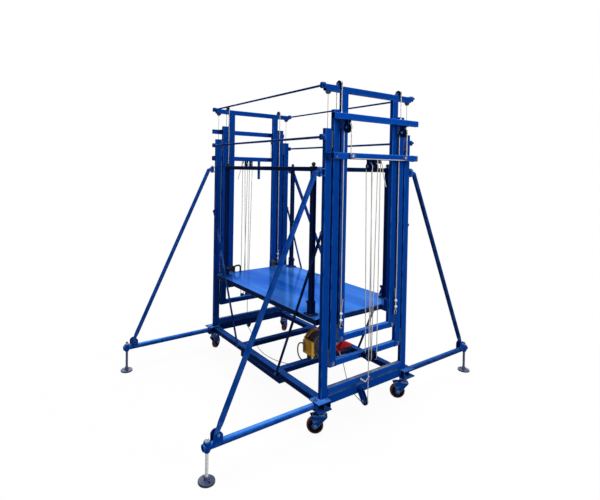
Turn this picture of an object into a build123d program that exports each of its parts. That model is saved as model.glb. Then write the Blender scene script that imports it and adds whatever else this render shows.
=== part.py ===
from build123d import *
import os
from math import acos, atan2, cos, degrees, dist, hypot, pi, radians, sin

os.makedirs("parts", exist_ok=True)

# Driving dimensions in millimetres: X along the length, Y across it, Z up from the floor
# Platform
deck_half_x = 675.0
deck_half_y = 395.0
deck_top = 690.0
deck_thick = 3.0
rim_height = 37.0
rim_width = 40.0
deck_tube_width = 30.0
deck_tube_pitch = 340.0
carriage_thick = 22.0
carriage_reach = 37.0
carriage_rise = 45.0
shoe_width = 32.0
cheek_plate = 6.0
cheek_short = 8.0
rope_lug_thick = 7.0
rope_lug_near = 13.0
rope_lug_far = 17.0
slide_clearance = 0.5
guard_inset_x = 95.0
guard_inset_y = 40.0
guard_post = 32.0
guard_wall = 2.0
guard_height = 958.0
guard_rail_height = 30.0
guard_foot = 70.0
guard_foot_thick = 6.0
cap_thick = 4.0
knob_r = 14.0
knob_rise = 13.0
grip_inset = 20.0
handle_y = (-230.0, -168.0)
handle_height = 58.0
handle_r = 8.0
handle_bend = 20.0
latch_y = 196.0
latch_height = 52.0
latch_knob_r = 13.0
latch_knob_length = 34.0
latch_tilt = 60.0

# Masts
post_depth = 30.0
post_width = 55.0
tube_wall = 3.0
stage_gap = 12.0
outer_post_y = 372.5
outer_top = 1885.0
middle_top = 2005.0
inner_top = 2115.0
outer_bar_low = 232.0
middle_low = 395.0
inner_low = 540.0
bar_height = 40.0
stand_off = 42.0
beam_inset = 7.0
outer_beam_drop = 188.0
middle_beam_drop = 67.0
pad_length = 100.0
pad_end = 15.0
pad_inset = 3.0
stage_bolt_r = 11.0
stage_bolt_reach = 10.0
top_bolt_r = 9.0
top_bolt_inset = 7.0
top_bolt_drop = 100.0
striker_y = (98.0, 116.0)
striker_drop = 170.0
striker_inset = 4.0

# Base frame
side_beam_reach = 48.0
base_low = 165.0
base_height = 40.0
end_beam_high = 225.0
plate_thick = 8.0
plate_inward = 37.0
plate_outward = 58.0
plate_step = 5.0
plate_margin = 20.0
pin_tail = 5.0
beam_bolt_r = 8.0
beam_bolt_head = 6.0
drop_span = (-230.0, 300.0)
cross_member_x = (-270.0, 240.0)
cross_member_width = 50.0
knee_top_z = 1240.0
knee_foot_inward = 455.0
knee_foot_rise = 5.0
knee_width = 16.0
knee_thick = 12.0
knee_wall = 2.0
knee_overhang = 14.0
knee_bolt_r = 7.0

# Ropes and sheaves
rope_r = 3.0
groove_clearance = 0.5
sheave_width = 12.0
sheave_lip = 5.0
axle_r = 8.0
running_clearance = 0.05
rope_joint_gap = 1.0
cheek_gap = 2.0
cheek_thick = 5.0
block_half = 18.0
lower_block_half = 16.0
becket_width = 8.0
becket_behind = 18.0
becket_ahead = 6.0
tackle_reach = 63.0
tackle_pitch_r = 26.0
tackle_step = 25.0
upper_block_drop = 42.0
becket_drop = 22.0
base_pulley_drop = 30.0
base_pulley_r = 28.0
bracket_r = 20.0
bracket_reach = 26.0
stage_rope_y = 262.0
stage_sheave_drop = 45.0
stage_sheave_r = 32.0
equaliser_r = 15.0
equaliser_rise = 5.0
equaliser_pin_r = 5.0
equaliser_pin = 16.0
platform_rope_y = 280.0
top_sheave_r = 24.0
top_sheave_rise = 50.0
top_axle_r = 7.0
top_cheek_half = 9.0
top_cheek_rise = 14.0
notch_clearance = 2.0
anchor_rise = 14.0
anchor_r = 4.5
ledge_height = 18.0
ledge_half = 5.5
ledge_clearance = 2.0
rope_loop_r = 8.0
pin_r = 4.9
pin_ahead = 8.0
pin_head = 4.0
stage_loop_rise = 108.0
stage_eye_length = 114.0
platform_loop_rise = 28.0
platform_eye_length = 142.0
tail_short = 26.0
grip_depth = 13.0
grip_margin = 11.0
grip_places = (38.0, 80.0)
limit_cord_r = 1.5
limit_cord_foot = 300.0
limit_lug_r = 20.0
limit_lug_thick = 12.0
fall_tail_drop = 150.0
fall_tail_drift = 40.0
run_straight = 70.0
slack_leaves = 300.0
slack_straight = 84.0

# Tie rods
mast_rod_r = 8.0
mast_rod_out = 14.0
mast_rod_drop = 55.0
top_rod_r = 7.0
top_rod_out = 15.0
top_rod_rise = 30.0
rod_reach = 30.0
rod_block_half = 18.0
rod_block_out = 14.0
nut_margin = 5.0
nut_length = 10.0

# Outriggers and jacks
hinge_out = 30.0
hinge_pin_r = 8.0
hinge_head_r = 13.0
hinge_head = 9.0
knuckle_r = 17.0
knuckle_clearance = 1.0
arm_r = 19.0
arm_start = 12.0
jack_y = 1160.0
jack_boss_r = 25.0
jack_boss_below = 9.0
jack_boss_above = 7.0
brace_r = 16.0
brace_top_z = 1615.0
brace_head_out = 32.0
brace_link_r = 13.0
brace_foot_y = 1105.0
brace_foot_z = 238.0
lug_r = 18.0
lug_half_span = 25.0
clevis_gap = 15.0
clevis_thick = 6.0
clevis_half = 28.0
clevis_rise = 18.0
clevis_pin_r = 6.0
clevis_head_r = 10.0
clevis_head = 6.0
clevis_tail = 28.0
neck_length = 62.0
tongue_width = 29.0
tongue_depth = 28.0
tongue_overlap = 14.0
ring_r = 13.0
ring_wire_r = 1.8
screw_r = 10.0
screw_low = 22.0
screw_high = 236.0
screw_head_r = 15.0
screw_head = 20.0
pad_r = 46.0
pad_edge = 6.0
pad_neck_r = 17.0
pad_neck = 42.0

# Casters
swivel_outward = 8.0
swivel_y = 385.0
kingpin_r = 10.0
wheel_r = 52.5
wheel_width = 30.0
wheel_core_r = 40.0
wheel_axle_r = 6.0
caster_trail = 40.0
crown_clearance = 6.0
crown_thick = 8.0
crown_back = 26.0
race_r = 28.0
fork_clearance = 3.0
fork_thick = 4.0
fork_leg_r = 14.0
tread_shoulder = 6.0
core_rim = 5.0
core_recess = 5.0
core_boss_r = 15.0
core_boss = 2.0
axle_overhang = 10.0
caster_heading = {"front_right": 232.5, "back_right": 232.5, "front_left": 123.6, "back_left": 123.6}

# Hoist: its motor lies along X, its drum along Y
hoist_x = 240.0
hoist_z = 338.0
motor_y = -24.0
motor_z = 322.0
motor_r = 84.0
motor_body_r = 82.0
motor_span = (205.0, 300.0)
cowl_length = 18.0
motor_foot = 60.0
motor_foot_rise = 70.0
strap_x = (211.0, 239.0)
strap_thick = 9.0
cover_x = (217.0, 323.0)
cover_y = (-128.0, -98.0)
cover_z = (258.0, 362.0)
cover_round = 10.0
side_plate_r = 96.0
side_plate_thick = 8.0
side_plate_half = 60.0
drum_span = (82.0, 174.0)
drum_core_r = 52.0
drum_flange_r = 78.0
drum_flange = 4.0
drum_clearance = 2.0
rope_clearance = 0.3
shaft_r = 16.0
gear_case_x = (172.0, 205.0)
gear_case_y = -10.0
gear_case_z = (262.0, 340.0)
end_case_x = (200.0, 280.0)
end_case_y = 326.0
end_case_break_y = 236.0
end_case_top = 284.0
end_case_end_top = 245.0
winding_turns = 5
winding_pitch = 6.5
winding_inset = 8.5
lead_r = 5.0
lead_y = -113.0
lead_z = 318.0
lead_bow = 77.0
lead_foot_z = 186.0
gland_r = 11.0
gland_length = 8.0

face_in = deck_half_x + carriage_reach
face_out = face_in + post_depth
tower_x = (face_in + face_out) / 2
outer_face = outer_post_y + post_width / 2
post_pitch = post_width + stage_gap
middle_post_y = outer_post_y - post_pitch
inner_post_y = middle_post_y - post_pitch
cross_beam_in = face_out + stand_off
cross_beam_out = cross_beam_in + post_depth
cross_beam_half = outer_face - beam_inset
outer_beam_low = outer_top - outer_beam_drop
middle_beam_low = middle_top - middle_beam_drop
base_high = base_low + base_height
outer_foot = base_high + plate_thick
plate_near_x = tower_x - plate_inward
plate_far_x = tower_x + plate_outward
side_beam_end = tower_x + side_beam_reach
knee_foot_x = tower_x - knee_foot_inward
knee_foot_z = base_low + base_height / 2 + knee_foot_rise
tackle_x = tower_x + tackle_reach
base_pulley_x = tackle_x + tackle_pitch_r - base_pulley_r
stage_sheave_x = tackle_x
upper_block_z = outer_beam_low - upper_block_drop
becket_z = outer_beam_low - becket_drop
lower_block_z = middle_low + bar_height / 2
base_pulley_z = base_low - base_pulley_drop
stage_sheave_z = middle_beam_low - stage_sheave_drop
equaliser_z = outer_beam_low + equaliser_rise
top_sheave_z = inner_top + top_sheave_rise
stage_loop_z = inner_low + stage_loop_rise
stage_rope_end_z = stage_loop_z + stage_eye_length
platform_loop_z = deck_top + platform_loop_rise
platform_rope_end_z = platform_loop_z + platform_eye_length
anchor_top_z = middle_beam_low + bar_height + anchor_rise
mast_rod_y = outer_face + mast_rod_out
mast_rod_z = outer_top - mast_rod_drop
top_rod_y = outer_face + top_rod_out
top_rod_z = inner_top + top_rod_rise
rod_end_x = tower_x + rod_reach
hinge_y = outer_face + hinge_out
plate_far_y = hinge_y + plate_margin
brace_head_y = hinge_y + brace_head_out
lug_low = brace_top_z - lug_half_span
lug_high = brace_top_z + lug_half_span
arm_z = base_low + base_height / 2
swivel_x = tower_x + swivel_outward
guard_x = deck_half_x - guard_inset_x
guard_y = deck_half_y - guard_inset_y
guard_top = deck_top + guard_height
deck_low = deck_top - deck_thick
rim_low = deck_low - rim_height
drum_pitch_r = drum_core_r + rope_r
bore_r = axle_r + running_clearance
winding_length = winding_turns * winding_pitch
right_drum_y = drum_span[1] - winding_inset - winding_length
left_drum_y = drum_span[0] + winding_inset + winding_length
post_x = (face_in, face_out)
pad_x = (face_in + pad_inset, face_out - pad_inset)
cross_beam_x = (cross_beam_in, cross_beam_out)
corners = {"front_right": (1, -1), "back_right": (1, 1), "front_left": (-1, -1), "back_left": (-1, 1)}
# Each tackle: side of the length, first sheave's place across, and the way its sheaves step across
tackles = {"right": (1, 10.0, -1), "left": (-1, -65.0, 1)}


def save(name, solids):
    parts = []
    for item in solids:
        parts.extend(item.solids())
    export_step(Compound(children=parts), f"parts/{name}.step")


def side(sign, low, high):
    return (low, high) if sign > 0 else (-high, -low)


def about(middle, half):
    return (middle - half, middle + half)


def span(x, y, z):
    middles = [(low + high) / 2 for low, high in (x, y, z)]
    return Pos(*middles) * Box(*[high - low for low, high in (x, y, z)])


def tube(x, y, z, along, wall=tube_wall):
    ranges = (x, y, z)
    inner = [(a - 1, b + 1) if i == along else (a + wall, b - wall) for i, (a, b) in enumerate(ranges)]
    return span(*ranges) - span(*inner)


def rod(start, end, radius):
    path = Vector(*end) - Vector(*start)
    stock = Cylinder(radius, path.length, align=(Align.CENTER, Align.CENTER, Align.MIN))
    return Plane(origin=start, z_dir=path) * stock


def pipe(start, end, radius, wall=tube_wall):
    return rod(start, end, radius) - rod(start, end, radius - wall)


def plate_xz(points, y):
    outline = Polyline(*points, close=True)
    stock = extrude(make_face(outline), y[1] - y[0])
    return Location((0, y[1], 0), (90, 0, 0)) * stock


def plate_yz(points, x):
    outline = Polyline(*points, close=True)
    stock = extrude(make_face(outline), x[1] - x[0])
    return Plane(origin=(x[0], 0, 0), x_dir=(0, 1, 0), z_dir=(1, 0, 0)) * stock


def hexagon(start, end, radius):
    path = Vector(*end) - Vector(*start)
    stock = extrude(RegularPolygon(radius, 6), path.length)
    return Plane(origin=start, z_dir=path) * stock


def mirrored(solids):
    return [mirror(item, about=Plane.YZ) for item in solids]


def for_side(sign, solids):
    return solids if sign > 0 else mirrored(solids)


def sheave(pitch_r, place, bore=bore_r):
    lip_r = pitch_r + sheave_lip
    groove = rope_r + groove_clearance
    section = Pos((bore + lip_r) / 2, 0) * Rectangle(lip_r - bore, sheave_width)
    section -= Pos(pitch_r, 0) * Circle(groove)
    section -= Pos(pitch_r + sheave_lip, 0) * Rectangle(2 * sheave_lip, 2 * groove)
    return Pos(*place) * revolve(section, Axis.Y)


def rope_bend(centre, radius, start, sweep_angle):
    # An arc of rope in the XZ plane, its angles counted from +X towards +Z
    arc = revolve(Pos(radius, 0) * Circle(rope_r), Axis((0, 0, 0), (0, -1, 0)), sweep_angle)
    return Pos(*centre) * Rot(0, -start, 0) * arc


def cheeks(places, outline, shaft, shaft_x, shaft_z):
    # Side plates about sheaves at the given places across, joined by their axle
    half = sheave_width / 2 + cheek_gap
    frame = None
    for place in places:
        for way in (-1, 1):
            low, high = side(way, half, half + cheek_thick)
            plate = plate_xz(outline, (place + low, place + high))
            frame = plate if frame is None else frame + plate
    reach = half + cheek_thick
    ends = (min(places) - reach, max(places) + reach)
    return frame + rod((shaft_x, ends[0], shaft_z), (shaft_x, ends[1], shaft_z), shaft)


def rectangle(x, z):
    return [(x[0], z[0]), (x[1], z[0]), (x[1], z[1]), (x[0], z[1])]


def arc_points(centre, radius, angles):
    return [(centre[0] + radius * cos(radians(angle)), centre[1] + radius * sin(radians(angle)))
            for angle in angles]


def tackle_places(first, step):
    return [first + step * tackle_step * i for i in range(4)]


def pulley_bracket():
    # A plate that hangs from the end beam and is rounded about the base pulley's axle
    arc = arc_points((base_pulley_x, base_pulley_z), bracket_r, range(225, 405, 15))
    return [(face_out, base_high), (face_out, base_low), *arc, (face_out + bracket_reach, base_high)]


def base_frame():
    members = []
    clear = outer_face - post_width
    for sign in (-1, 1):
        y = side(sign, clear, outer_face)
        members.append(tube((-side_beam_end, side_beam_end), y, (base_low, base_high), 0))
        members.append(tube(drop_span, y, (base_low - base_height, base_low), 0))
    for x in cross_member_x:
        members.append(tube(about(x, cross_member_width / 2), (-clear, clear), (base_low, base_high), 1))
    for sign, first, step in tackles.values():
        place = tackle_places(first, step)[3]
        beam = tube(post_x, (-clear, clear), (base_low, end_beam_high), 1)
        bracket = cheeks([place], pulley_bracket(), axle_r, base_pulley_x, base_pulley_z)
        members.extend(for_side(sign, [beam, bracket]))
    for sign_x, sign_y in corners.values():
        y = side(sign_y, clear, plate_far_y)
        hinge = (tower_x, sign_y * hinge_y)
        swivel = (swivel_x, sign_y * swivel_y)
        pin = rod((*hinge, 0), (*hinge, 2 * base_high), hinge_pin_r)
        kingpin = rod((*swivel, 0), (*swivel, base_low), kingpin_r + running_clearance)
        top = span((plate_near_x, plate_far_x - plate_step), y, (base_high, outer_foot)) - pin
        low = span((plate_near_x, plate_far_x), y, (base_low - plate_thick, base_low)) - pin - kingpin
        members.extend(for_side(sign_x, [top, low]))
    return members


def rod_block(sign_y, rod_y, rod_z, rod_r):
    y = side(sign_y, outer_face, rod_y + rod_block_out)
    bore = rod((face_in, sign_y * rod_y, rod_z), (face_out, sign_y * rod_y, rod_z), rod_r)
    return span(pad_x, y, about(rod_z, rod_block_half)) - bore


def mast_lugs(sign_y):
    lugs = []
    centre = (tower_x, sign_y * hinge_y)
    for low in (lug_low, lug_high - plate_thick):
        high = low + plate_thick
        plate = span(about(tower_x, lug_r), side(sign_y, outer_face, hinge_y), (low, high))
        plate += rod((*centre, low), (*centre, high), lug_r)
        lugs.append(plate - rod((*centre, low - 1), (*centre, high + 1), hinge_pin_r))
    return lugs


def guide_pad(sign_y, face, outward, low):
    reach = stage_gap - slide_clearance
    y = (face, face + reach) if outward else (face - reach, face)
    return span(pad_x, side(sign_y, *y), (low, low + pad_length))


def cross_beam(post_y, low):
    high = low + bar_height
    members = [tube(cross_beam_x, (-cross_beam_half, cross_beam_half), (low, high), 1)]
    for sign_y in (-1, 1):
        y = about(sign_y * post_y, bar_height / 2)
        members.append(tube((face_out, cross_beam_in), y, (low, high), 0))
    return members


def posts_and_bar(post_y, foot, top, bar_low):
    members = []
    inside = post_y - post_width / 2
    for sign_y in (-1, 1):
        y = side(sign_y, inside, inside + post_width)
        members.append(tube(post_x, y, (foot, top), 2))
    members.append(tube(post_x, (-inside, inside), (bar_low, bar_low + bar_height), 1))
    return members


def stage_bolt(y, z, radius):
    return hexagon((face_out, y, z), (face_out + stage_bolt_reach, y, z), radius)


def outer_mast(first, step):
    members = posts_and_bar(outer_post_y, outer_foot, outer_top, outer_bar_low)
    members += cross_beam(outer_post_y, outer_beam_low)
    inner_face = outer_face - post_width
    pulley_x = stage_sheave_x + stage_sheave_r
    pulley_z = equaliser_z + equaliser_r
    for sign_y in (-1, 1):
        members += mast_lugs(sign_y)
        members.append(rod_block(sign_y, mast_rod_y, mast_rod_z, mast_rod_r))
        members.append(guide_pad(sign_y, inner_face, False, outer_top - pad_end - pad_length))
        bolt_y = sign_y * (inner_face + top_bolt_inset)
        members.append(stage_bolt(bolt_y, outer_top - top_bolt_drop, top_bolt_r))
        pulley_y = sign_y * (stage_rope_y - equaliser_r)
        pin_start = (cross_beam_out, pulley_y, pulley_z)
        members.append(rod(pin_start, (cross_beam_out + equaliser_pin, pulley_y, pulley_z), equaliser_pin_r))
        wheel = sheave(equaliser_r, (0, 0, 0), equaliser_pin_r)
        members.append(Pos(pulley_x, pulley_y, pulley_z) * Rot(0, 0, 90) * wheel)
    places = tackle_places(first, step)
    block = rectangle(about(tackle_x, block_half), (upper_block_z - block_half, outer_beam_low))
    members.append(cheeks(places[1::2], block, axle_r, tackle_x, upper_block_z))
    rope_x = tackle_x + tackle_pitch_r
    becket_x = (rope_x - becket_behind, rope_x + becket_ahead)
    members.append(span(becket_x, about(first, becket_width / 2), (becket_z, outer_beam_low)))
    return members


def striker_bar():
    # A flat bar that hangs from the left outer beam
    x = side(-1, cross_beam_in + striker_inset, cross_beam_out - striker_inset)
    return span(x, striker_y, (outer_beam_low - striker_drop, outer_beam_low))


def middle_mast(first, step):
    members = posts_and_bar(middle_post_y, middle_low, middle_top, middle_low)
    members += cross_beam(middle_post_y, middle_beam_low)
    pad_face = middle_post_y + post_width / 2
    inner_face = middle_post_y - post_width / 2
    beam_high = middle_beam_low + bar_height
    rope_x = tower_x + top_sheave_r
    hanger_z = (stage_sheave_z - lower_block_half, middle_beam_low)
    hanger = rectangle(about(stage_sheave_x, lower_block_half), hanger_z)
    for sign_y in (-1, 1):
        members.append(guide_pad(sign_y, pad_face, True, middle_low + pad_end))
        members.append(guide_pad(sign_y, inner_face, False, middle_top - pad_end - pad_length))
        members.append(stage_bolt(sign_y * middle_post_y, middle_low + bar_height / 2, stage_bolt_r))
        members.append(cheeks([sign_y * stage_rope_y], hanger, axle_r, stage_sheave_x, stage_sheave_z))
        anchor = (rope_x, sign_y * platform_rope_y)
        ledge = span((face_out + ledge_clearance, cross_beam_in), about(anchor[1], ledge_half),
                     (beam_high - ledge_height, beam_high))
        members.append(ledge + rod((*anchor, beam_high), (*anchor, anchor_top_z), anchor_r))
    places = tackle_places(first, step)
    block = rectangle((face_out, tackle_x + lower_block_half), about(lower_block_z, block_half))
    members.append(cheeks(places[0::2], block, axle_r, tackle_x, lower_block_z))
    return members


def inner_mast():
    members = posts_and_bar(inner_post_y, inner_low, inner_top, inner_low)
    beam_high = inner_top + bar_height
    beam = tube(post_x, (-outer_face, outer_face), (inner_top, beam_high), 1)
    notch_floor = top_sheave_z - top_sheave_r - sheave_lip - notch_clearance
    half = sheave_width / 2 + cheek_gap + cheek_thick
    crest = top_sheave_z + top_cheek_rise
    outline = [(face_in, notch_floor), (face_out, notch_floor), (face_out, beam_high),
               (tower_x + top_cheek_half, crest), (tower_x - top_cheek_half, crest), (face_in, beam_high)]
    rope_x = stage_sheave_x - stage_sheave_r
    for sign_y in (-1, 1):
        y = sign_y * platform_rope_y
        beam -= span((face_in - 1, face_out + 1), about(y, half), (notch_floor, beam_high + 1))
        members.append(cheeks([y], outline, top_axle_r, tower_x, top_sheave_z))
        members.append(rod_block(sign_y, top_rod_y, top_rod_z, top_rod_r))
        members.append(guide_pad(sign_y, inner_post_y + post_width / 2, True, inner_low + pad_end))
        members.append(stage_bolt(sign_y * inner_post_y, inner_low + bar_height / 2, stage_bolt_r))
        eye = (sign_y * (stage_rope_y - rope_loop_r), stage_loop_z)
        pin_end = rope_x + pin_ahead
        pin = rod((face_out, *eye), (pin_end, *eye), pin_r)
        members.append(pin + rod((pin_end - pin_head, *eye), (pin_end, *eye), 2 * pin_r))
        lug_centre = (sign_y * outer_post_y, inner_top)
        low_x, high_x = about(tower_x, limit_lug_thick / 2)
        lug = rod((low_x, *lug_centre), (high_x, *lug_centre), limit_lug_r)
        members.append(lug - span((face_in, face_out), (-outer_face, outer_face), (inner_top, beam_high)))
    members.append(beam)
    return members


def nuts_on_rod(y, z, radius):
    places = []
    for face, inset in ((face_in, pad_inset), (face_out, -pad_inset)):
        inner = face + inset
        places.append((inner, inner - nut_length if inset > 0 else inner + nut_length))
    return [hexagon((sign * start, y, z), (sign * end, y, z), radius)
            for sign in (-1, 1) for start, end in places]


def tie_rods(y, z, radius):
    # Two threaded rods along the length, with a nut on each side of each lug
    members = []
    for sign_y in (-1, 1):
        shaft = rod((-rod_end_x, sign_y * y, z), (rod_end_x, sign_y * y, z), radius)
        for nut in nuts_on_rod(sign_y * y, z, radius + nut_margin):
            shaft += nut
        members.append(shaft)
    return members


def knee_braces():
    members = []
    foot = (knee_foot_x, knee_foot_z)
    top = (tower_x, knee_top_z)
    half_length = hypot(top[0] - foot[0], top[1] - foot[1]) / 2 + knee_overhang
    angle = degrees(atan2(top[1] - foot[1], top[0] - foot[0]))
    for sign_x, sign_y in corners.values():
        bar = tube(about(0, half_length), about(0, knee_thick / 2), about(0, knee_width / 2), 0, knee_wall)
        middle = ((foot[0] + top[0]) / 2, sign_y * (outer_face + knee_thick / 2), (foot[1] + top[1]) / 2)
        members.extend(for_side(sign_x, [Pos(*middle) * Rot(0, -angle, 0) * bar]))
    return members


def outrigger_arm(sign_y):
    hinge = (tower_x, sign_y * hinge_y)
    tip = (tower_x, sign_y * jack_y)
    low, high = base_low + knuckle_clearance, base_high - knuckle_clearance
    arm = pipe((tower_x, sign_y * (hinge_y + arm_start), arm_z), (*tip, arm_z), arm_r)
    arm += rod((*hinge, low), (*hinge, high), knuckle_r)
    arm += rod((*tip, base_low - jack_boss_below), (*tip, base_high + jack_boss_above), jack_boss_r)
    foot = (sign_y * brace_foot_y, brace_foot_z)
    bore = rod((face_in - clevis_tail, *foot), (face_out + clevis_tail, *foot), clevis_pin_r)
    for way in (-1, 1):
        low_x, high_x = side(way, clevis_gap, clevis_gap + clevis_thick)
        cheek = span((tower_x + low_x, tower_x + high_x), about(foot[0], clevis_half),
                     (arm_z + arm_r / 4, brace_foot_z + clevis_rise))
        arm += cheek - bore
    arm -= rod((*hinge, 0), (*hinge, 2 * high), hinge_pin_r + running_clearance)
    return arm - rod((*tip, 0), (*tip, 2 * high), screw_r + running_clearance)


def outrigger_brace(sign_y):
    hinge = (tower_x, sign_y * hinge_y)
    head = (tower_x, sign_y * brace_head_y, brace_top_z)
    foot = (tower_x, sign_y * brace_foot_y, brace_foot_z)
    slope = (Vector(*foot) - Vector(*head)).normalized()
    neck = tuple(Vector(*foot) - slope * neck_length)
    brace = pipe(head, neck, brace_r)
    length = neck_length + tongue_overlap
    tongue = Plane(origin=neck, x_dir=(1, 0, 0), z_dir=slope) * Pos(0, 0, length / 2)
    tongue = tongue * Box(tongue_width, tongue_depth, length)
    bore = rod((face_in - clevis_tail, *foot[1:]), (face_out + clevis_tail, *foot[1:]), clevis_pin_r)
    brace += tongue - bore
    low, high = lug_low + plate_thick + knuckle_clearance, lug_high - plate_thick - knuckle_clearance
    brace += rod((*hinge, low), (*hinge, high), knuckle_r) + rod((*hinge, brace_top_z), head, brace_link_r)
    return brace - rod((*hinge, lug_low), (*hinge, lug_high), hinge_pin_r + running_clearance)


def brace_pin(sign_y):
    foot = (sign_y * brace_foot_y, brace_foot_z)
    face = tower_x + clevis_gap + clevis_thick
    pin = rod((tower_x - clevis_tail, *foot), (face + clevis_head - 1, *foot), clevis_pin_r)
    pin += rod((face, *foot), (face + clevis_head, *foot), clevis_head_r)
    ring_centre = (tower_x - clevis_tail + ring_wire_r, foot[0], brace_foot_z - ring_r)
    return pin + Pos(*ring_centre) * Rot(0, 90, 0) * Torus(ring_r, ring_wire_r)


def jack(sign_y):
    tip = (tower_x, sign_y * jack_y)
    hole = screw_r + 4 * running_clearance
    shoulder = (pad_r + pad_neck_r) / 2
    section = Polyline((0, 0), (pad_r, 0), (pad_r, pad_edge), (pad_r - pad_edge, 2 * pad_edge),
                       (shoulder - pad_edge, screw_low), (pad_neck_r, screw_low + pad_edge),
                       (pad_neck_r, pad_neck), (hole, pad_neck), (hole, screw_low), (0, screw_low), close=True)
    profile = Plane.XZ * make_face(section)
    pad = Pos(*tip, 0) * revolve(profile, Axis.Z)
    head_low = screw_high - running_clearance
    screw = rod((*tip, screw_low), (*tip, screw_high), screw_r)
    return [pad, screw + hexagon((*tip, head_low), (*tip, screw_high + screw_head), screw_head_r)]


def caster_fork(sign_y, heading):
    crown_low = 2 * wheel_r + crown_clearance
    crown_high = crown_low + crown_thick
    half = wheel_width / 2 + fork_clearance
    stem = rod((0, 0, crown_high), (0, 0, base_low - 2), kingpin_r)
    race = rod((0, 0, crown_high - 2), (0, 0, base_low - plate_thick - slide_clearance), race_r)
    nose = caster_trail + crown_thick
    crown = span((-crown_back, nose), about(0, half + fork_thick), (crown_low, crown_high))
    fork = stem + race + crown
    leg_top = crown_low + crown_thick / 2
    foot = arc_points((caster_trail, wheel_r), fork_leg_r, range(0, -195, -15))
    outline = [(-crown_back, leg_top), (nose, leg_top), *foot]
    for way in (-1, 1):
        fork += plate_xz(outline, side(way, half, half + fork_thick))
    reach = half + axle_overhang
    fork += rod((caster_trail, -reach, wheel_r), (caster_trail, reach, wheel_r), wheel_axle_r)
    return Pos(swivel_x, sign_y * swivel_y, 0) * Rot(0, 0, heading) * fork


def caster_wheel(sign_y, heading):
    half = wheel_width / 2
    shoulder_r = wheel_r - tread_shoulder
    bore = wheel_axle_r + running_clearance
    tread = [(wheel_core_r, half), (shoulder_r, half), (wheel_r, half - tread_shoulder)]
    core = [(bore, half + core_boss), (core_boss_r, half + core_boss), (core_boss_r, half - core_recess),
            (wheel_core_r - core_rim, half - core_recess), (wheel_core_r, half)]
    place = Pos(swivel_x, sign_y * swivel_y, 0) * Rot(0, 0, heading) * Pos(caster_trail, 0, wheel_r)
    solids = []
    for edge in (tread, core):
        outline = Polyline(*edge, *[(radius, -y) for radius, y in reversed(edge)], close=True)
        solids.append(place * revolve(make_face(outline), Axis.Y))
    return solids


def platform_frame():
    members = []
    inside = deck_half_y - rim_width
    rim_z = (rim_low, deck_low)
    for sign in (-1, 1):
        members.append(tube((-deck_half_x, deck_half_x), side(sign, inside, deck_half_y), rim_z, 0))
        members.append(tube(side(sign, deck_half_x - rim_width, deck_half_x), (-inside, inside), rim_z, 1))
    for x in (-deck_tube_pitch, 0, deck_tube_pitch):
        members.append(tube(about(x, deck_tube_width / 2), (-inside, inside), rim_z, 1))
    block_face = deck_half_x + carriage_thick
    cheek_y = inner_post_y - post_width / 2 - slide_clearance
    loop_y = platform_rope_y + rope_loop_r
    shoe_z = (rim_low, deck_top + carriage_rise)
    for sign_x, sign_y in corners.values():
        block = span((deck_half_x, block_face), side(sign_y, cheek_y - cheek_plate, loop_y + rope_lug_far),
                     (rim_low, deck_top))
        shoe_y = about(sign_y * inner_post_y, shoe_width / 2)
        shoe = span((block_face, face_in - slide_clearance), shoe_y, shoe_z)
        cheek_x = (block_face, face_out - cheek_short)
        cheek = span(cheek_x, side(sign_y, cheek_y - cheek_plate, cheek_y), shoe_z)
        lug = span((block_face - rope_lug_thick, block_face),
                   side(sign_y, loop_y - rope_lug_near, loop_y + rope_lug_far),
                   (deck_top, platform_loop_z + rope_lug_far))
        loop = (sign_y * loop_y, platform_loop_z)
        pin = rod((block_face, *loop), (face_in - pad_inset, *loop), pin_r)
        members.extend(for_side(sign_x, [block, shoe, cheek, lug, pin]))
    return members


def guard_rail():
    half = guard_post / 2
    bottom = deck_top + guard_foot_thick
    rail_z = (guard_top - guard_rail_height, guard_top)
    rail_half = guard_rail_height / 2
    members = []
    for sign_x, sign_y in corners.values():
        x, y = sign_x * guard_x, sign_y * guard_y
        members.append(span(about(x, guard_foot / 2), about(y, guard_foot / 2), (deck_top, bottom)))
        members.append(tube(about(x, half), about(y, half), (bottom, guard_top), 2, guard_wall))
    for sign_y in (-1, 1):
        y = about(sign_y * guard_y, rail_half)
        members.append(tube((half - guard_x, guard_x - half), y, rail_z, 0, guard_wall))
    members.append(tube(about(guard_x, rail_half), (half - guard_y, guard_y - half), rail_z, 1, guard_wall))
    return members


def platform_grips():
    members = []
    half = guard_post / 2
    cap_top = guard_top + cap_thick
    for sign_x, sign_y in corners.values():
        cap = span(about(0, half), about(0, half), (guard_top, cap_top))
        cap += Pos(0, 0, cap_top + knob_rise) * Sphere(knob_r)
        members.append(Pos(sign_x * guard_x, sign_y * guard_y, 0) * cap)
    grip_x = grip_inset - deck_half_x
    near, far = handle_y
    crest = deck_top + handle_height
    points = [(grip_x, near, deck_top), (grip_x, near, crest), (grip_x, far, crest), (grip_x, far, deck_top)]
    path = FilletPolyline(*points, radius=handle_bend)
    members.append(sweep(Plane(origin=points[0], z_dir=(0, 0, 1)) * Circle(handle_r), path))
    latch_top = (grip_x, latch_y, deck_top + latch_height)
    latch = rod((grip_x, latch_y, deck_top), latch_top, handle_r)
    latch += Pos(*latch_top) * Rot(0, -latch_tilt, 0) * Cylinder(latch_knob_r, latch_knob_length)
    members.append(latch)
    return members


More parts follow.
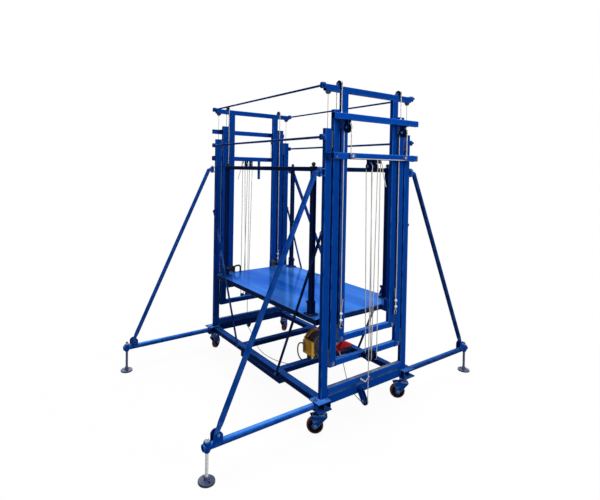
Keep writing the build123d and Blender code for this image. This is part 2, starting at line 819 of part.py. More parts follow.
def rope_end(x, live_y, loop_y, loop_z, top):
    # A rope's eye round a pin along X, with its tail and two grips
    tail_y = 2 * loop_y - live_y
    ring = revolve(Pos(rope_loop_r, 0) * Circle(rope_r), Axis.Y, 180)
    eye = Pos(x, loop_y, loop_z) * Rot(0, 0, 90) * ring
    rope = eye + rod((x, live_y, loop_z), (x, live_y, top), rope_r)
    rope += rod((x, tail_y, loop_z), (x, tail_y, top - tail_short), rope_r)
    members = [rope]
    for rise in grip_places:
        z = loop_z + rise
        grip = Pos(x, loop_y, z) * Box(grip_depth, 2 * rope_loop_r + grip_margin, grip_depth)
        for y in (live_y, tail_y):
            grip -= rod((x, y, z - grip_depth), (x, y, z + grip_depth), rope_r)
        members.append(grip)
    return members


def stage_rope_ends(sign_y):
    x = stage_sheave_x - stage_sheave_r
    y = sign_y * stage_rope_y
    return rope_end(x, y, y - sign_y * rope_loop_r, stage_loop_z, stage_rope_end_z)


def platform_rope_ends(sign_y):
    x = tower_x - top_sheave_r
    y = sign_y * platform_rope_y
    return rope_end(x, y, y + sign_y * rope_loop_r, platform_loop_z, platform_rope_end_z)


def hoist_falls(first, step):
    # The four falls between each tackle's blocks, which shorten as the middle stage rises
    places = tackle_places(first, step)
    near, far = tackle_x - tackle_pitch_r, tackle_x + tackle_pitch_r
    low, high = lower_block_z + rope_joint_gap, upper_block_z - rope_joint_gap
    return [rod((far, places[0], low), (far, places[0], becket_z), rope_r),
            rod((near, places[0], low), (near, places[1], high), rope_r),
            rod((far, places[2], low), (far, places[1], high), rope_r),
            rod((near, places[2], low), (near, places[3], high), rope_r)]


def tackle_bends(first, step):
    return [rope_bend((tackle_x, place, lower_block_z), tackle_pitch_r, 180, 180)
            for place in tackle_places(first, step)[0::2]]


def lower_tangent(first_centre, first_r, second_centre, second_r):
    # Where a straight rope touches the undersides of two rollers, in the XZ plane
    step_x = second_centre[0] - first_centre[0]
    step_z = second_centre[1] - first_centre[1]
    turn = atan2(step_z, step_x) - acos((second_r - first_r) / hypot(step_x, step_z))
    normal = (cos(turn), sin(turn))
    points = [(c[0] - normal[0] * r, c[1] - normal[1] * r)
              for c, r in ((first_centre, first_r), (second_centre, second_r))]
    return points, degrees(turn)


def fall_tail(first, step):
    # The loose end of the rope beside its becket
    x = tackle_x + tackle_pitch_r + becket_ahead + rope_r
    drift = -step * fall_tail_drift
    route = [(x, first, outer_beam_low - 2 * rope_r),
             (x + rope_r, first + 0.1 * drift, becket_z - 4 * rope_r),
             (x, first + 0.5 * drift, becket_z - fall_tail_drop / 2),
             (x + 2 * rope_r, first + drift, becket_z - fall_tail_drop)]
    return routed_tube(route, rope_r, "rope tail", 2 * rope_r, 100)


def lead_rope(first, step):
    # Over the upper block, down the tower and under the base pulley
    places = tackle_places(first, step)
    far = tackle_x + tackle_pitch_r
    pulley = (base_pulley_x, places[3], base_pulley_z)
    members = [rope_bend((tackle_x, y, upper_block_z), tackle_pitch_r, 0, 180) for y in places[1::2]]
    members.append(rod((far, places[3], base_pulley_z), (far, places[3], upper_block_z), rope_r))
    members.append(fall_tail(first, step))
    return members, pulley


def equaliser():
    # Ties the two stage ropes of a tower along the outer beam
    x = stage_sheave_x + stage_sheave_r
    high = equaliser_z + equaliser_r
    reach = stage_rope_y - equaliser_r
    bend = Rot(0, 0, 90) * revolve(Pos(equaliser_r, 0) * Circle(rope_r), Axis.Y, 90)
    line = rod((x, -reach, equaliser_z), (x, reach, equaliser_z), rope_r)
    back = Pos(x, reach, high) * bend
    return line + back + mirror(back, about=Plane.XZ)


leaving = radians(slack_leaves)
left_pulley_y = tackle_places(*tackles["left"][1:])[3]
slack_start = (-base_pulley_x - base_pulley_r * cos(leaving), left_pulley_y,
               base_pulley_z + base_pulley_r * sin(leaving))
slack_second = (slack_start[0] - slack_straight * sin(leaving), left_pulley_y,
                slack_start[2] - slack_straight * cos(leaving))
drum_side_x = hoist_x - drum_pitch_r
slack_route = [slack_start, slack_second, (-652, -3, 36), (-578, -28, 18), (-498, -54, 11), (-416, -70, 10),
               (-333, -73, 10), (-250, -64, 10), (-169, -44, 13), (-92, -16, 20), (-20, 14, 34), (46, 48, 58),
               (104, 86, 92), (146, 112, 141), (174, left_drum_y, 200), (drum_side_x, left_drum_y, 270),
               (drum_side_x, left_drum_y, hoist_z - rope_joint_gap)]
lead_exit_x = cover_x[0]
gland_face = cross_member_x[1] - cross_member_width / 2
lead_route = [(lead_exit_x, lead_y, lead_z), (lead_exit_x - lead_bow, lead_y, lead_z),
              (lead_exit_x - lead_bow, lead_y, lead_foot_z), (gland_face - gland_length, lead_y, lead_foot_z)]


def route_radii(points):
    # The bend at each corner leaves a little of both its runs straight
    radii = []
    for before, corner, after in zip(points, points[1:], points[2:]):
        back = Vector(*before) - Vector(*corner)
        onward = Vector(*after) - Vector(*corner)
        half_turn = radians(180 - back.get_angle(onward)) / 2
        shorter = min(back.length, onward.length)
        radii.append(0.45 * shorter * cos(half_turn) / sin(half_turn))
    return radii


def routed_tube(points, radius, label, least_radius, most_radius):
    radii = [min(value, most_radius) for value in route_radii(points)]
    path = FilletPolyline(*points, radius=radii)
    start = Vector(*points[1]) - Vector(*points[0])
    solid = sweep(Plane(origin=points[0], z_dir=start) * Circle(radius), path)
    expected = pi * radius ** 2 * path.length
    print(label, "bend radii", [round(value) for value in radii], "least wanted", least_radius,
          "volume over section times length", round(solid.volume / expected, 4))
    return solid


def winding(start_y, start_angle, way):
    # One layer of rope on the drum as a single helix, from where the rope meets it
    line = Helix(winding_pitch, winding_length, drum_pitch_r)
    coil = sweep(Plane(origin=line @ 0, z_dir=line % 0) * Circle(rope_r), line, is_frenet=True)
    points = [line @ (i / 400) for i in range(401)]
    per_turn = 400 // winding_turns
    gap = min(dist(tuple(points[i]), tuple(points[j])) for i in range(0, 401, 5)
              for j in range(i + per_turn // 2, 401)) - 2 * rope_r
    print("winding least gap", round(gap, 2))
    coil = Rot(0, -start_angle, 0) * Rot(-90, 0, 0) * coil
    return Pos(hoist_x, start_y, hoist_z) * (coil if way > 0 else mirror(coil, about=Plane.XZ))


def along_drum(low, high, radius):
    return rod((hoist_x, low, hoist_z), (hoist_x, high, hoist_z), radius)


def along_motor(low, high, radius):
    return rod((low, motor_y, motor_z), (high, motor_y, motor_z), radius)


def hoist_drum():
    low, high = drum_span[0] + drum_clearance / 2, drum_span[1] - drum_clearance / 2
    drum = along_drum(low, high, drum_core_r - rope_clearance)
    for start in (low, high - drum_flange):
        drum += along_drum(start, start + drum_flange, drum_flange_r)
    return [drum - along_drum(low - 1, high + 1, shaft_r + running_clearance)]


def hoist_motor():
    motor = along_motor(*motor_span, motor_body_r)
    motor += along_motor(motor_span[1], motor_span[1] + cowl_length, motor_r)
    foot_x = about(cross_member_x[1], cross_member_width / 2)
    motor += span(foot_x, about(motor_y, motor_foot), (base_high, base_high + motor_foot_rise))
    return [motor]


def hoist_strap():
    # A hoop over the motor from the cover's top to a foot on the cross member
    outer_r = motor_body_r + strap_thick
    hoop = along_motor(*strap_x, outer_r) - along_motor(strap_x[0] - 1, strap_x[1] + 1, motor_body_r)
    below = (motor_z - 2 * motor_r, motor_z)
    hoop -= span((strap_x[0] - 1, strap_x[1] + 1), about(motor_y, 2 * motor_r), below)
    hoop -= span((strap_x[0] - 1, strap_x[1] + 1), (motor_y - 2 * motor_r, motor_y), (motor_z, cover_z[1]))
    leg_y = (motor_y + motor_body_r, motor_y + outer_r)
    hoop += span(strap_x, leg_y, (base_high, motor_z))
    return [hoop]


def hoist_end_cover():
    box = span(cover_x, cover_y, cover_z)
    box = fillet(box.edges().filter_by(Axis.Y), cover_round)
    return [box - along_motor(motor_span[0], cover_x[1] + 1, motor_r)]


def hoist_gearbox():
    near_y = (drum_span[0] - side_plate_thick, drum_span[0])
    far_y = (drum_span[1], drum_span[1] + side_plate_thick)
    plates = []
    for low, high in (near_y, far_y):
        plate = along_drum(low, high, side_plate_r)
        plate += span(about(hoist_x, side_plate_half), (low, high), (base_high, hoist_z))
        plates.append(plate - along_drum(low - 1, high + 1, shaft_r))
    shaft = along_drum(near_y[0], far_y[1], shaft_r)
    worm_case = span(gear_case_x, (gear_case_y, near_y[0]), gear_case_z)
    outline = [(far_y[1], base_high), (end_case_y, base_high), (end_case_y, end_case_end_top),
               (end_case_break_y, end_case_top), (far_y[1], end_case_top)]
    return [*plates, shaft, worm_case, plate_yz(outline, end_case_x)]


def lead_gland():
    return hexagon(lead_route[-1], (gland_face, lead_y, lead_foot_z), gland_r)


def fasteners():
    members = []
    for sign_x, sign_y in corners.values():
        centre = (tower_x, sign_y * hinge_y)
        pins = []
        for low, high in ((base_low - plate_thick, outer_foot), (lug_low, lug_high)):
            pins.append(rod((*centre, low - pin_tail), (*centre, high), hinge_pin_r)
                        + hexagon((*centre, high), (*centre, high + hinge_head), hinge_head_r))
        face = sign_y * (outer_face + knee_thick)
        bolts = [hexagon((x, face, z), (x, face + sign_y * knee_bolt_r, z), knee_bolt_r)
                 for x, z in ((tower_x, knee_top_z), (knee_foot_x, knee_foot_z))]
        beam_y = sign_y * outer_post_y
        for share in (0.3, 0.7):
            z = outer_beam_low + share * bar_height
            head = (cross_beam_out + beam_bolt_head, beam_y, z)
            bolts.append(hexagon((cross_beam_out, beam_y, z), head, beam_bolt_r))
        members.extend(for_side(sign_x, [*pins, *bolts]))
    return members


for name, (sign, first, step) in tackles.items():
    outer = for_side(sign, outer_mast(first, step))
    if sign < 0:
        outer.append(striker_bar())
    save(f"outer_mast_{name}", outer)
    save(f"middle_mast_{name}", for_side(sign, middle_mast(first, step)))
    save(f"inner_mast_{name}", for_side(sign, inner_mast()))
    stage_bends = [rope_bend((stage_sheave_x, way * stage_rope_y, stage_sheave_z), stage_sheave_r, 0, 180)
                   for way in (-1, 1)]
    save(f"middle_rope_bends_{name}", for_side(sign, tackle_bends(first, step) + stage_bends))
    places = tackle_places(first, step)
    top_bore = top_axle_r + running_clearance
    groups = {
        "upper_block_sheaves": [sheave(tackle_pitch_r, (tackle_x, y, upper_block_z)) for y in places[1::2]],
        "lower_block_sheaves": [sheave(tackle_pitch_r, (tackle_x, y, lower_block_z)) for y in places[0::2]],
        "base_pulley": [sheave(base_pulley_r, (base_pulley_x, places[3], base_pulley_z))],
        "stage_sheaves": [sheave(stage_sheave_r, (stage_sheave_x, way * stage_rope_y, stage_sheave_z))
                          for way in (-1, 1)],
        "top_sheaves": [sheave(top_sheave_r, (tower_x, way * platform_rope_y, top_sheave_z), top_bore)
                        for way in (-1, 1)],
    }
    for group, solids in groups.items():
        save(f"{group}_{name}", for_side(sign, solids))

for name, (sign_x, sign_y) in corners.items():
    heading = caster_heading[name] if sign_x > 0 else 180 - caster_heading[name]
    outrigger = [outrigger_arm(sign_y), outrigger_brace(sign_y), brace_pin(sign_y)]
    save(f"outrigger_{name}", for_side(sign_x, outrigger))
    save(f"jack_{name}", for_side(sign_x, jack(sign_y)))
    save(f"caster_fork_{name}", for_side(sign_x, [caster_fork(sign_y, heading)]))
    save(f"caster_wheel_{name}", for_side(sign_x, caster_wheel(sign_y, heading)))

save("base_frame", base_frame())
save("mast_tie_rods", tie_rods(mast_rod_y, mast_rod_z, mast_rod_r))
save("top_tie_rods", tie_rods(top_rod_y, top_rod_z, top_rod_r))
save("knee_braces", knee_braces())
save("frame_fasteners", fasteners())
save("platform_frame", platform_frame())
save("deck_sheet", [span(about(0, deck_half_x), about(0, deck_half_y), (deck_low, deck_top))])
save("guard_rail", guard_rail())
save("platform_grips", platform_grips())
save("hoist_motor", hoist_motor())
save("hoist_strap", hoist_strap())
save("hoist_end_cover", hoist_end_cover())
save("hoist_gearbox", hoist_gearbox())
save("hoist_drum", hoist_drum())
save("hoist_lead", [routed_tube(lead_route, lead_r, "hoist lead", 3 * 2 * lead_r, 10 * lead_r), lead_gland()])
save("slack_rope", [routed_tube(slack_route, rope_r, "slack rope", 5 * 2 * rope_r, 400)])

ropes = {name: [] for name in ("hoist_falls", "fixed_ropes", "stage_rope_rise", "stage_rope_fall",
                               "stage_rope_ends", "platform_rope_rise", "platform_rope_fall",
                               "platform_rope_bends", "platform_rope_ends", "limit_cords")}
for sign, first, step in tackles.values():
    lead, pulley = lead_rope(first, step)
    if sign > 0:
        (start, end), turn = lower_tangent((base_pulley_x, base_pulley_z), base_pulley_r, (hoist_x, hoist_z),
                                           drum_pitch_r)
        lead.append(rope_bend(pulley, base_pulley_r, 180 + turn, 180 - turn))
        way = Vector(end[0] - start[0], 0, end[1] - start[1]).normalized()
        first_point = Vector(start[0], pulley[1], start[1])
        last_point = Vector(end[0], right_drum_y, end[1]) - way * rope_joint_gap
        straight = way * run_straight
        run = [first_point, first_point + straight, last_point - straight, last_point]
        lead.append(routed_tube([tuple(point) for point in run], rope_r, "hoist run", 5 * 2 * rope_r, 200))
        lead.append(winding(right_drum_y, 180 + turn, 1))
    else:
        lead.append(rope_bend(pulley, base_pulley_r, slack_leaves, 360 - slack_leaves))
        lead.append(mirror(winding(left_drum_y, 180, -1), about=Plane.YZ))
    ropes["hoist_falls"] += for_side(sign, hoist_falls(first, step))
    ropes["fixed_ropes"] += for_side(sign, [*lead, equaliser()])
    stage_near, stage_far = stage_sheave_x - stage_sheave_r, stage_sheave_x + stage_sheave_r
    near, far = tower_x - top_sheave_r, tower_x + top_sheave_r
    for way in (-1, 1):
        stage_y, deck_y, cord_y = way * stage_rope_y, way * platform_rope_y, way * outer_post_y
        straights = {
            "stage_rope_rise": ((stage_far, stage_y), equaliser_z + equaliser_r, stage_sheave_z, rope_r),
            "stage_rope_fall": ((stage_near, stage_y), stage_rope_end_z, stage_sheave_z, rope_r),
            "platform_rope_rise": ((far, deck_y), anchor_top_z, top_sheave_z, rope_r),
            "platform_rope_fall": ((near, deck_y), platform_rope_end_z, top_sheave_z, rope_r),
            "limit_cords": ((tower_x, cord_y), limit_cord_foot, inner_top - limit_lug_r, limit_cord_r),
        }
        for name, (place, low, high, radius) in straights.items():
            ropes[name] += for_side(sign, [rod((*place, low), (*place, high), radius)])
        over = rope_bend((tower_x, deck_y, top_sheave_z), top_sheave_r, 0, 180)
        ropes["platform_rope_bends"] += for_side(sign, [over])
        ropes["stage_rope_ends"] += for_side(sign, stage_rope_ends(way))
        ropes["platform_rope_ends"] += for_side(sign, platform_rope_ends(way))
for name, solids in ropes.items():
    save(name, solids)
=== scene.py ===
import math
import random

import bmesh
import bpy
from mathutils import Matrix, Vector


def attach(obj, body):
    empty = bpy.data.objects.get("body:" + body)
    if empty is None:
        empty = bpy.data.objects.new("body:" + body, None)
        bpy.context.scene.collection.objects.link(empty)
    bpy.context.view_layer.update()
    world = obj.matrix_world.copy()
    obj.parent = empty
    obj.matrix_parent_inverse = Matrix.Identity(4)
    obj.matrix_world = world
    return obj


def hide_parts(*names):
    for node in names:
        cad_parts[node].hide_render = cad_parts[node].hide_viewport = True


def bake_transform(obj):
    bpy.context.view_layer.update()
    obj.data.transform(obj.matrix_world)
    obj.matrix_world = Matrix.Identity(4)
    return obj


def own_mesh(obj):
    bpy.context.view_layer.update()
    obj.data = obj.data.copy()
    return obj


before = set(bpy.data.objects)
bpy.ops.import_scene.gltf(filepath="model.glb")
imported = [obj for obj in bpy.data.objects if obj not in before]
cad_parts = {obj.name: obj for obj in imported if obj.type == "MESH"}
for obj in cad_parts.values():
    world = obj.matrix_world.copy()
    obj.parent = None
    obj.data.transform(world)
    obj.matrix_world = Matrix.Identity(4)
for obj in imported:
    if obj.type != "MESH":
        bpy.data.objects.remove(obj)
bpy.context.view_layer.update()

random.seed(11)
finishes = {}
mirrorX = Matrix.Scale(-1, 4, (1, 0, 0))
sides = {"Right": 1, "Left": -1}
edgeHold = 4.0  # how far the edge wear and painted edge highlight reach in from an edge
corners = {"FrontRight": (1, -1), "BackRight": (1, 1), "FrontLeft": (-1, -1), "BackLeft": (-1, 1)}
print("frame loaded", len(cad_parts), "nodes")


# shader helpers
def put(tree, kind, sockets=None, **settings):
    node = tree.nodes.new(kind)
    for key, value in settings.items():
        setattr(node, key, value)
    for key, value in (sockets or {}).items():
        if isinstance(value, bpy.types.NodeSocket):
            tree.links.new(value, node.inputs[key])
        else:
            node.inputs[key].default_value = value
    return node


def math2(tree, operation, first, second, clamp=False):
    return put(tree, "ShaderNodeMath", {0: first, 1: second}, operation=operation, use_clamp=clamp).outputs[0]


def ramp(tree, value, low, high, start=0.0, end=1.0):
    sockets = {"Value": value, "From Min": low, "From Max": high, "To Min": start, "To Max": end}
    return put(tree, "ShaderNodeMapRange", sockets, clamp=True).outputs["Result"]


def blendColour(tree, share, first, second):
    node = put(tree, "ShaderNodeMix", data_type="RGBA")
    for key, value in (("Factor_Float", share), ("A_Color", first), ("B_Color", second)):
        socket = next(s for s in node.inputs if s.identifier == key)
        if isinstance(value, bpy.types.NodeSocket):
            tree.links.new(value, socket)
        else:
            socket.default_value = (*value, 1.0)
    return next(s for s in node.outputs if s.identifier == "Result_Color")


def makeGroup(name, inputs, output):
    group = bpy.data.node_groups.new(name, "ShaderNodeTree")
    for label, value in inputs.items():
        group.interface.new_socket(label, in_out="INPUT", socket_type="NodeSocketFloat").default_value = value
    group.interface.new_socket(output, in_out="OUTPUT", socket_type="NodeSocketFloat")
    return group, group.nodes.new("NodeGroupInput").outputs, group.nodes.new("NodeGroupOutput").inputs[0]


def noiseAt(tree, scale, detail=4.0, rough=0.55, stretch=None):
    where = put(tree, "ShaderNodeTexCoord").outputs["Object"]
    if stretch:
        where = put(tree, "ShaderNodeMapping", {"Vector": where, "Scale": stretch}).outputs["Vector"]
    sockets = {"Vector": where, "Scale": scale, "Detail": detail, "Roughness": rough}
    return put(tree, "ShaderNodeTexNoise", sockets).outputs["Fac"]


def product(tree, *values):
    total = values[0]
    for value in values[1:]:
        total = math2(tree, "MULTIPLY", total, value, True)
    return total


# the fine ripple of a sprayed and baked coat, with a slow waviness of the sheet under it
coatRipple, given, out = makeGroup("coatRipple", {"Fine": 420.0, "Slow": 14.0}, "Height")
fine = noiseAt(coatRipple, given["Fine"], 2.0)
slow = noiseAt(coatRipple, given["Slow"], 1.0)
coatRipple.links.new(math2(coatRipple, "ADD", math2(coatRipple, "MULTIPLY", fine, 0.25), slow), out)

# chips and rubbing along proud edges, with a painted highlight there where the chip colour is a lighter copy of the
# paint
edgeWearAndHighlight, given, out = makeGroup("edgeWearAndHighlight", {"Amount": 0.5, "Scale": 16.0}, "Mask")
proud = ramp(edgeWearAndHighlight, put(edgeWearAndHighlight, "ShaderNodeNewGeometry").outputs["Pointiness"], 0.518, 0.545)
patches = ramp(edgeWearAndHighlight, noiseAt(edgeWearAndHighlight, given["Scale"], 3.0, 0.5), 0.36, 0.62)
edgeWearAndHighlight.links.new(product(edgeWearAndHighlight, proud, patches, given["Amount"]), out)

# a lighter tint on what faces up: real dust where the tint is grey, painted top light where the tint is a lighter copy
# of the paint
upwardDustAndLight, given, out = makeGroup("upwardDustAndLight", {"Amount": 0.4, "Scale": 9.0}, "Mask")
upward = put(upwardDustAndLight, "ShaderNodeSeparateXYZ", {0: put(upwardDustAndLight, "ShaderNodeNewGeometry").outputs["Normal"]})
facing = ramp(upwardDustAndLight, upward.outputs["Z"], 0.6, 0.92)
cloudy = ramp(upwardDustAndLight, noiseAt(upwardDustAndLight, given["Scale"], 3.0, 0.5), 0.25, 0.65)
upwardDustAndLight.links.new(product(upwardDustAndLight, facing, cloudy, given["Amount"]), out)

# painted shade in corners and under seams, found by ambient occlusion and mottled like grime
cornerShadeAndSoil, given, out = makeGroup("cornerShadeAndSoil", {"Amount": 0.6, "Reach": 0.03, "Scale": 35.0}, "Mask")
near = put(cornerShadeAndSoil, "ShaderNodeAmbientOcclusion", {"Distance": given["Reach"]}, samples=8).outputs["AO"]
hollow = ramp(cornerShadeAndSoil, near, 0.35, 0.95, 1.0, 0.0)
mottle = ramp(cornerShadeAndSoil, noiseAt(cornerShadeAndSoil, given["Scale"], 5.0, 0.6), 0.25, 0.7, 0.35, 1.0)
cornerShadeAndSoil.links.new(product(cornerShadeAndSoil, hollow, mottle, given["Amount"]), out)

# hairline scuffs that run along the piece
scuffs, given, out = makeGroup("scuffs", {"Amount": 0.4, "Scale": 24.0}, "Mask")
upright = noiseAt(scuffs, given["Scale"], 8.0, 0.7, (6.0, 6.0, 0.6))
level = noiseAt(scuffs, given["Scale"], 8.0, 0.7, (0.5, 7.0, 7.0))
lines = math2(scuffs, "MAXIMUM", ramp(scuffs, upright, 0.64, 0.72), ramp(scuffs, level, 0.66, 0.74))
scuffs.links.new(product(scuffs, lines, given["Amount"]), out)

# broad soft streaks across a sheet, painted reflections
reflectionStreaks, given, out = makeGroup("reflectionStreaks", {"Amount": 0.3, "Scale": 1.7}, "Mask")
bands = ramp(reflectionStreaks, noiseAt(reflectionStreaks, given["Scale"], 5.0, 0.5, (0.5, 3.2, 1.0)), 0.38, 0.66)
reflectionStreaks.links.new(product(reflectionStreaks, bands, given["Amount"]), out)


def place(tree, group, **values):
    node = put(tree, "ShaderNodeGroup", node_tree=group)
    for key, value in values.items():
        node.inputs[key].default_value = value
    return node.outputs[0]


def startFinish(name):
    material = bpy.data.materials.new(name)
    material.use_nodes = True
    finishes[name] = material
    return material.node_tree, material.node_tree.nodes["Principled BSDF"]


def setPlain(shader, **values):
    for key, value in values.items():
        shader.inputs[key.replace("_", " ")].default_value = value


def endFinish(tree, shader, colour, rough, height, ripple, strength):
    bump = put(tree, "ShaderNodeBump", {"Height": height, "Strength": strength, "Distance": ripple})
    for output, socket in ((colour, "Base Color"), (rough, "Roughness"), (bump.outputs["Normal"], "Normal")):
        tree.links.new(output, shader.inputs[socket])


def paintFinish(name, look):
    tree, shader = startFinish(name)
    broad = ramp(tree, noiseAt(tree, look["patch"], 3.0), 0.3, 0.7)
    shade = blendColour(tree, broad, look["colour"], look["second"])
    # painted reflection streaks in the lighter chip colour
    if look["reflectionStreakAmount"]:
        shade = blendColour(tree, place(tree, reflectionStreaks, Amount=look["reflectionStreakAmount"]), shade, look["chip"])
    # painted shade, with grime, darkens the corners and seams
    shade = blendColour(tree, place(tree, cornerShadeAndSoil, Amount=look["soil"]), shade, look["dark"])
    shade = blendColour(tree, place(tree, scuffs, Amount=look["scuff"]), shade, look["chip"])
    # proud edges take the chip colour: wear, and on the blue paints a painted edge highlight
    shade = blendColour(tree, place(tree, edgeWearAndHighlight, Amount=look["wear"]), shade, look["chip"])
    # upward faces take the tint: grey tints are real dust, lighter copies of the paint are painted top light
    dustAndLight = place(tree, upwardDustAndLight, Amount=look["dust"], Scale=look["dustAndLightScale"])
    shade = blendColour(tree, dustAndLight, shade, look["dustAndTopLightTint"])
    rough = ramp(tree, noiseAt(tree, 22.0, 6.0), 0.3, 0.7, *look["rough"])
    rough = math2(tree, "ADD", rough, math2(tree, "MULTIPLY", dustAndLight, 0.35), True)
    endFinish(tree, shader, shade, rough, place(tree, coatRipple, Fine=look["fine"]), look["ripple"], 0.35)
    setPlain(shader, Specular_IOR_Level=look["gloss"], Specular_Tint=(*look["tint"], 1.0), Metallic=look["metal"])


def metalFinish(name, look):
    tree, shader = startFinish(name)
    spots = ramp(tree, noiseAt(tree, look["grain"], 5.0, 0.6), 0.3, 0.7)
    shade = blendColour(tree, spots, look["colour"], look["second"])
    # painted shade, with grime, darkens the hollows
    shade = blendColour(tree, place(tree, cornerShadeAndSoil, Amount=look["soil"], Reach=0.012), shade, look["dark"])
    shade = blendColour(tree, place(tree, scuffs, Amount=look["scuff"], Scale=60.0), shade, look["chip"])
    shade = blendColour(tree, place(tree, edgeWearAndHighlight, Amount=look["wear"], Scale=90.0), shade, look["chip"])
    rough = ramp(tree, noiseAt(tree, look["grain"] * 0.7, 6.0), 0.3, 0.7, *look["rough"])
    endFinish(tree, shader, shade, rough, noiseAt(tree, look["grain"] * 3.0, 3.0), look["ripple"], 0.4)
    setPlain(shader, Metallic=look["metal"], Specular_IOR_Level=look["gloss"])


def mouldedFinish(name, look):
    tree, shader = startFinish(name)
    cloud = ramp(tree, noiseAt(tree, 26.0, 5.0), 0.3, 0.7)
    shade = blendColour(tree, cloud, look["colour"], look["second"])
    shade = blendColour(tree, place(tree, edgeWearAndHighlight, Amount=look["wear"]), shade, look["chip"])
    shade = blendColour(tree, place(tree, upwardDustAndLight, Amount=look["dust"]), shade, look["dustAndTopLightTint"])
    rough = ramp(tree, noiseAt(tree, 40.0, 5.0), 0.3, 0.7, *look["rough"])
    endFinish(tree, shader, shade, rough, noiseAt(tree, look["grain"], 3.0), look["ripple"], 0.4)
    setPlain(shader, Specular_IOR_Level=look["gloss"])


# the darkest blue is painted shade for corners; the lighter chip blue marks wear and painted edge highlights; the
# lighter dust blue is painted top light on upward faces
framePaint = {"colour": (0.0012, 0.045, 0.285), "second": (0.001, 0.039, 0.25), "dark": (0.0008, 0.005, 0.03),
              "chip": (0.06, 0.2, 0.62), "patch": 3.0, "soil": 0.75, "scuff": 0.04, "wear": 0.4, "dust": 0.3,
              "dustAndLightScale": 5.0, "dustAndTopLightTint": (0.05, 0.25, 0.85), "rough": (0.26, 0.33), "fine": 380.0,
              "ripple": 0.0002, "gloss": 0.006, "metal": 0.1, "tint": (0.12, 0.4, 1.0), "reflectionStreakAmount": 0.0}
paintFinish("bluePaint", framePaint)
paintFinish("dustyPaint", {**framePaint, "colour": (0.0016, 0.058, 0.36), "second": (0.0014, 0.05, 0.32), "dust": 0.95,
                           "dustAndLightScale": 9.0, "dustAndTopLightTint": (0.3, 0.33, 0.32)})
paintFinish("casterPaint", {**framePaint, "colour": (0.003, 0.05, 0.26), "second": (0.002, 0.04, 0.21), "wear": 0.8,
                            "chip": (0.3, 0.43, 0.62)})
# a darker copy of the frame blue as painted shade, with a painted top light on upward faces
paintFinish("beamPaint", {**framePaint, "colour": (0.001, 0.018, 0.11), "second": (0.001, 0.014, 0.09), "dust": 0.9,
                          "dustAndLightScale": 3.0, "dustAndTopLightTint": (0.025, 0.13, 0.52)})
# the frame blue with a strong painted top light along upper sides
paintFinish("armPaint", {**framePaint, "dust": 0.95, "dustAndLightScale": 3.0, "dustAndTopLightTint": (0.09, 0.35, 0.98)})
# a darker copy of the frame blue as painted shade, with a painted top light on upward faces
paintFinish("platePaint", {**framePaint, "colour": (0.001, 0.022, 0.14), "second": (0.001, 0.018, 0.11), "dust": 0.9,
                           "dustAndLightScale": 8.0, "dustAndTopLightTint": (0.08, 0.3, 0.92)})
# a painted top light in lighter blue on upward faces
paintFinish("barPaint", {**framePaint, "colour": (0.0016, 0.058, 0.36), "second": (0.0014, 0.05, 0.32), "dust": 0.9,
                         "dustAndLightScale": 3.0, "dustAndTopLightTint": (0.12, 0.36, 0.95)})
# a dark copy of the frame blue, painted shade for parts that sit in shade
paintFinish("navyPaint", {**framePaint, "colour": (0.0016, 0.013, 0.075), "second": (0.0014, 0.01, 0.055), "dust": 0.15,
                          "chip": (0.03, 0.09, 0.3), "wear": 0.3})
paintFinish("shadePaint", {**framePaint, "colour": (0.001, 0.02, 0.13), "second": (0.001, 0.016, 0.1)})
# a darker copy of the frame blue as painted shade, with brownish grime in its patches and corners
paintFinish("rimPaint", {**framePaint, "colour": (0.003, 0.02, 0.11), "second": (0.008, 0.018, 0.06),
                         "dark": (0.008, 0.006, 0.005), "patch": 7.0, "soil": 0.8})
# the deck's lighter streaks are painted reflections
paintFinish("deckPaint", {**framePaint, "colour": (0.008, 0.125, 0.55), "second": (0.007, 0.115, 0.52), "scuff": 0.04,
                          "chip": (0.15, 0.4, 1.0), "rough": (0.1, 0.16), "ripple": 0.0006, "soil": 0.3,
                          "dust": 0.0, "gloss": 0.014, "metal": 0.5, "tint": (0.12, 0.45, 1.0), "reflectionStreakAmount": 0.6})
paintFinish("yellowPaint", {**framePaint, "colour": (0.98, 0.47, 0.004), "second": (0.9, 0.4, 0.004), "dust": 0.0,
                            "dark": (0.12, 0.05, 0.004), "chip": (0.9, 0.7, 0.25), "wear": 0.4, "patch": 9.0,
                            "gloss": 0.03, "dustAndTopLightTint": (0.98, 0.78, 0.3), "tint": (1.0, 0.7, 0.2), "metal": 0.2})
# the lighter ochre on upward faces is painted top light
paintFinish("ochrePaint", {**framePaint, "colour": (0.46, 0.2, 0.045), "second": (0.38, 0.15, 0.03), "dust": 0.2,
                           "dark": (0.05, 0.02, 0.006), "chip": (0.7, 0.42, 0.16), "wear": 0.5, "patch": 12.0,
                           "dustAndTopLightTint": (0.7, 0.45, 0.2), "tint": (1.0, 0.8, 0.5), "metal": 0.1})
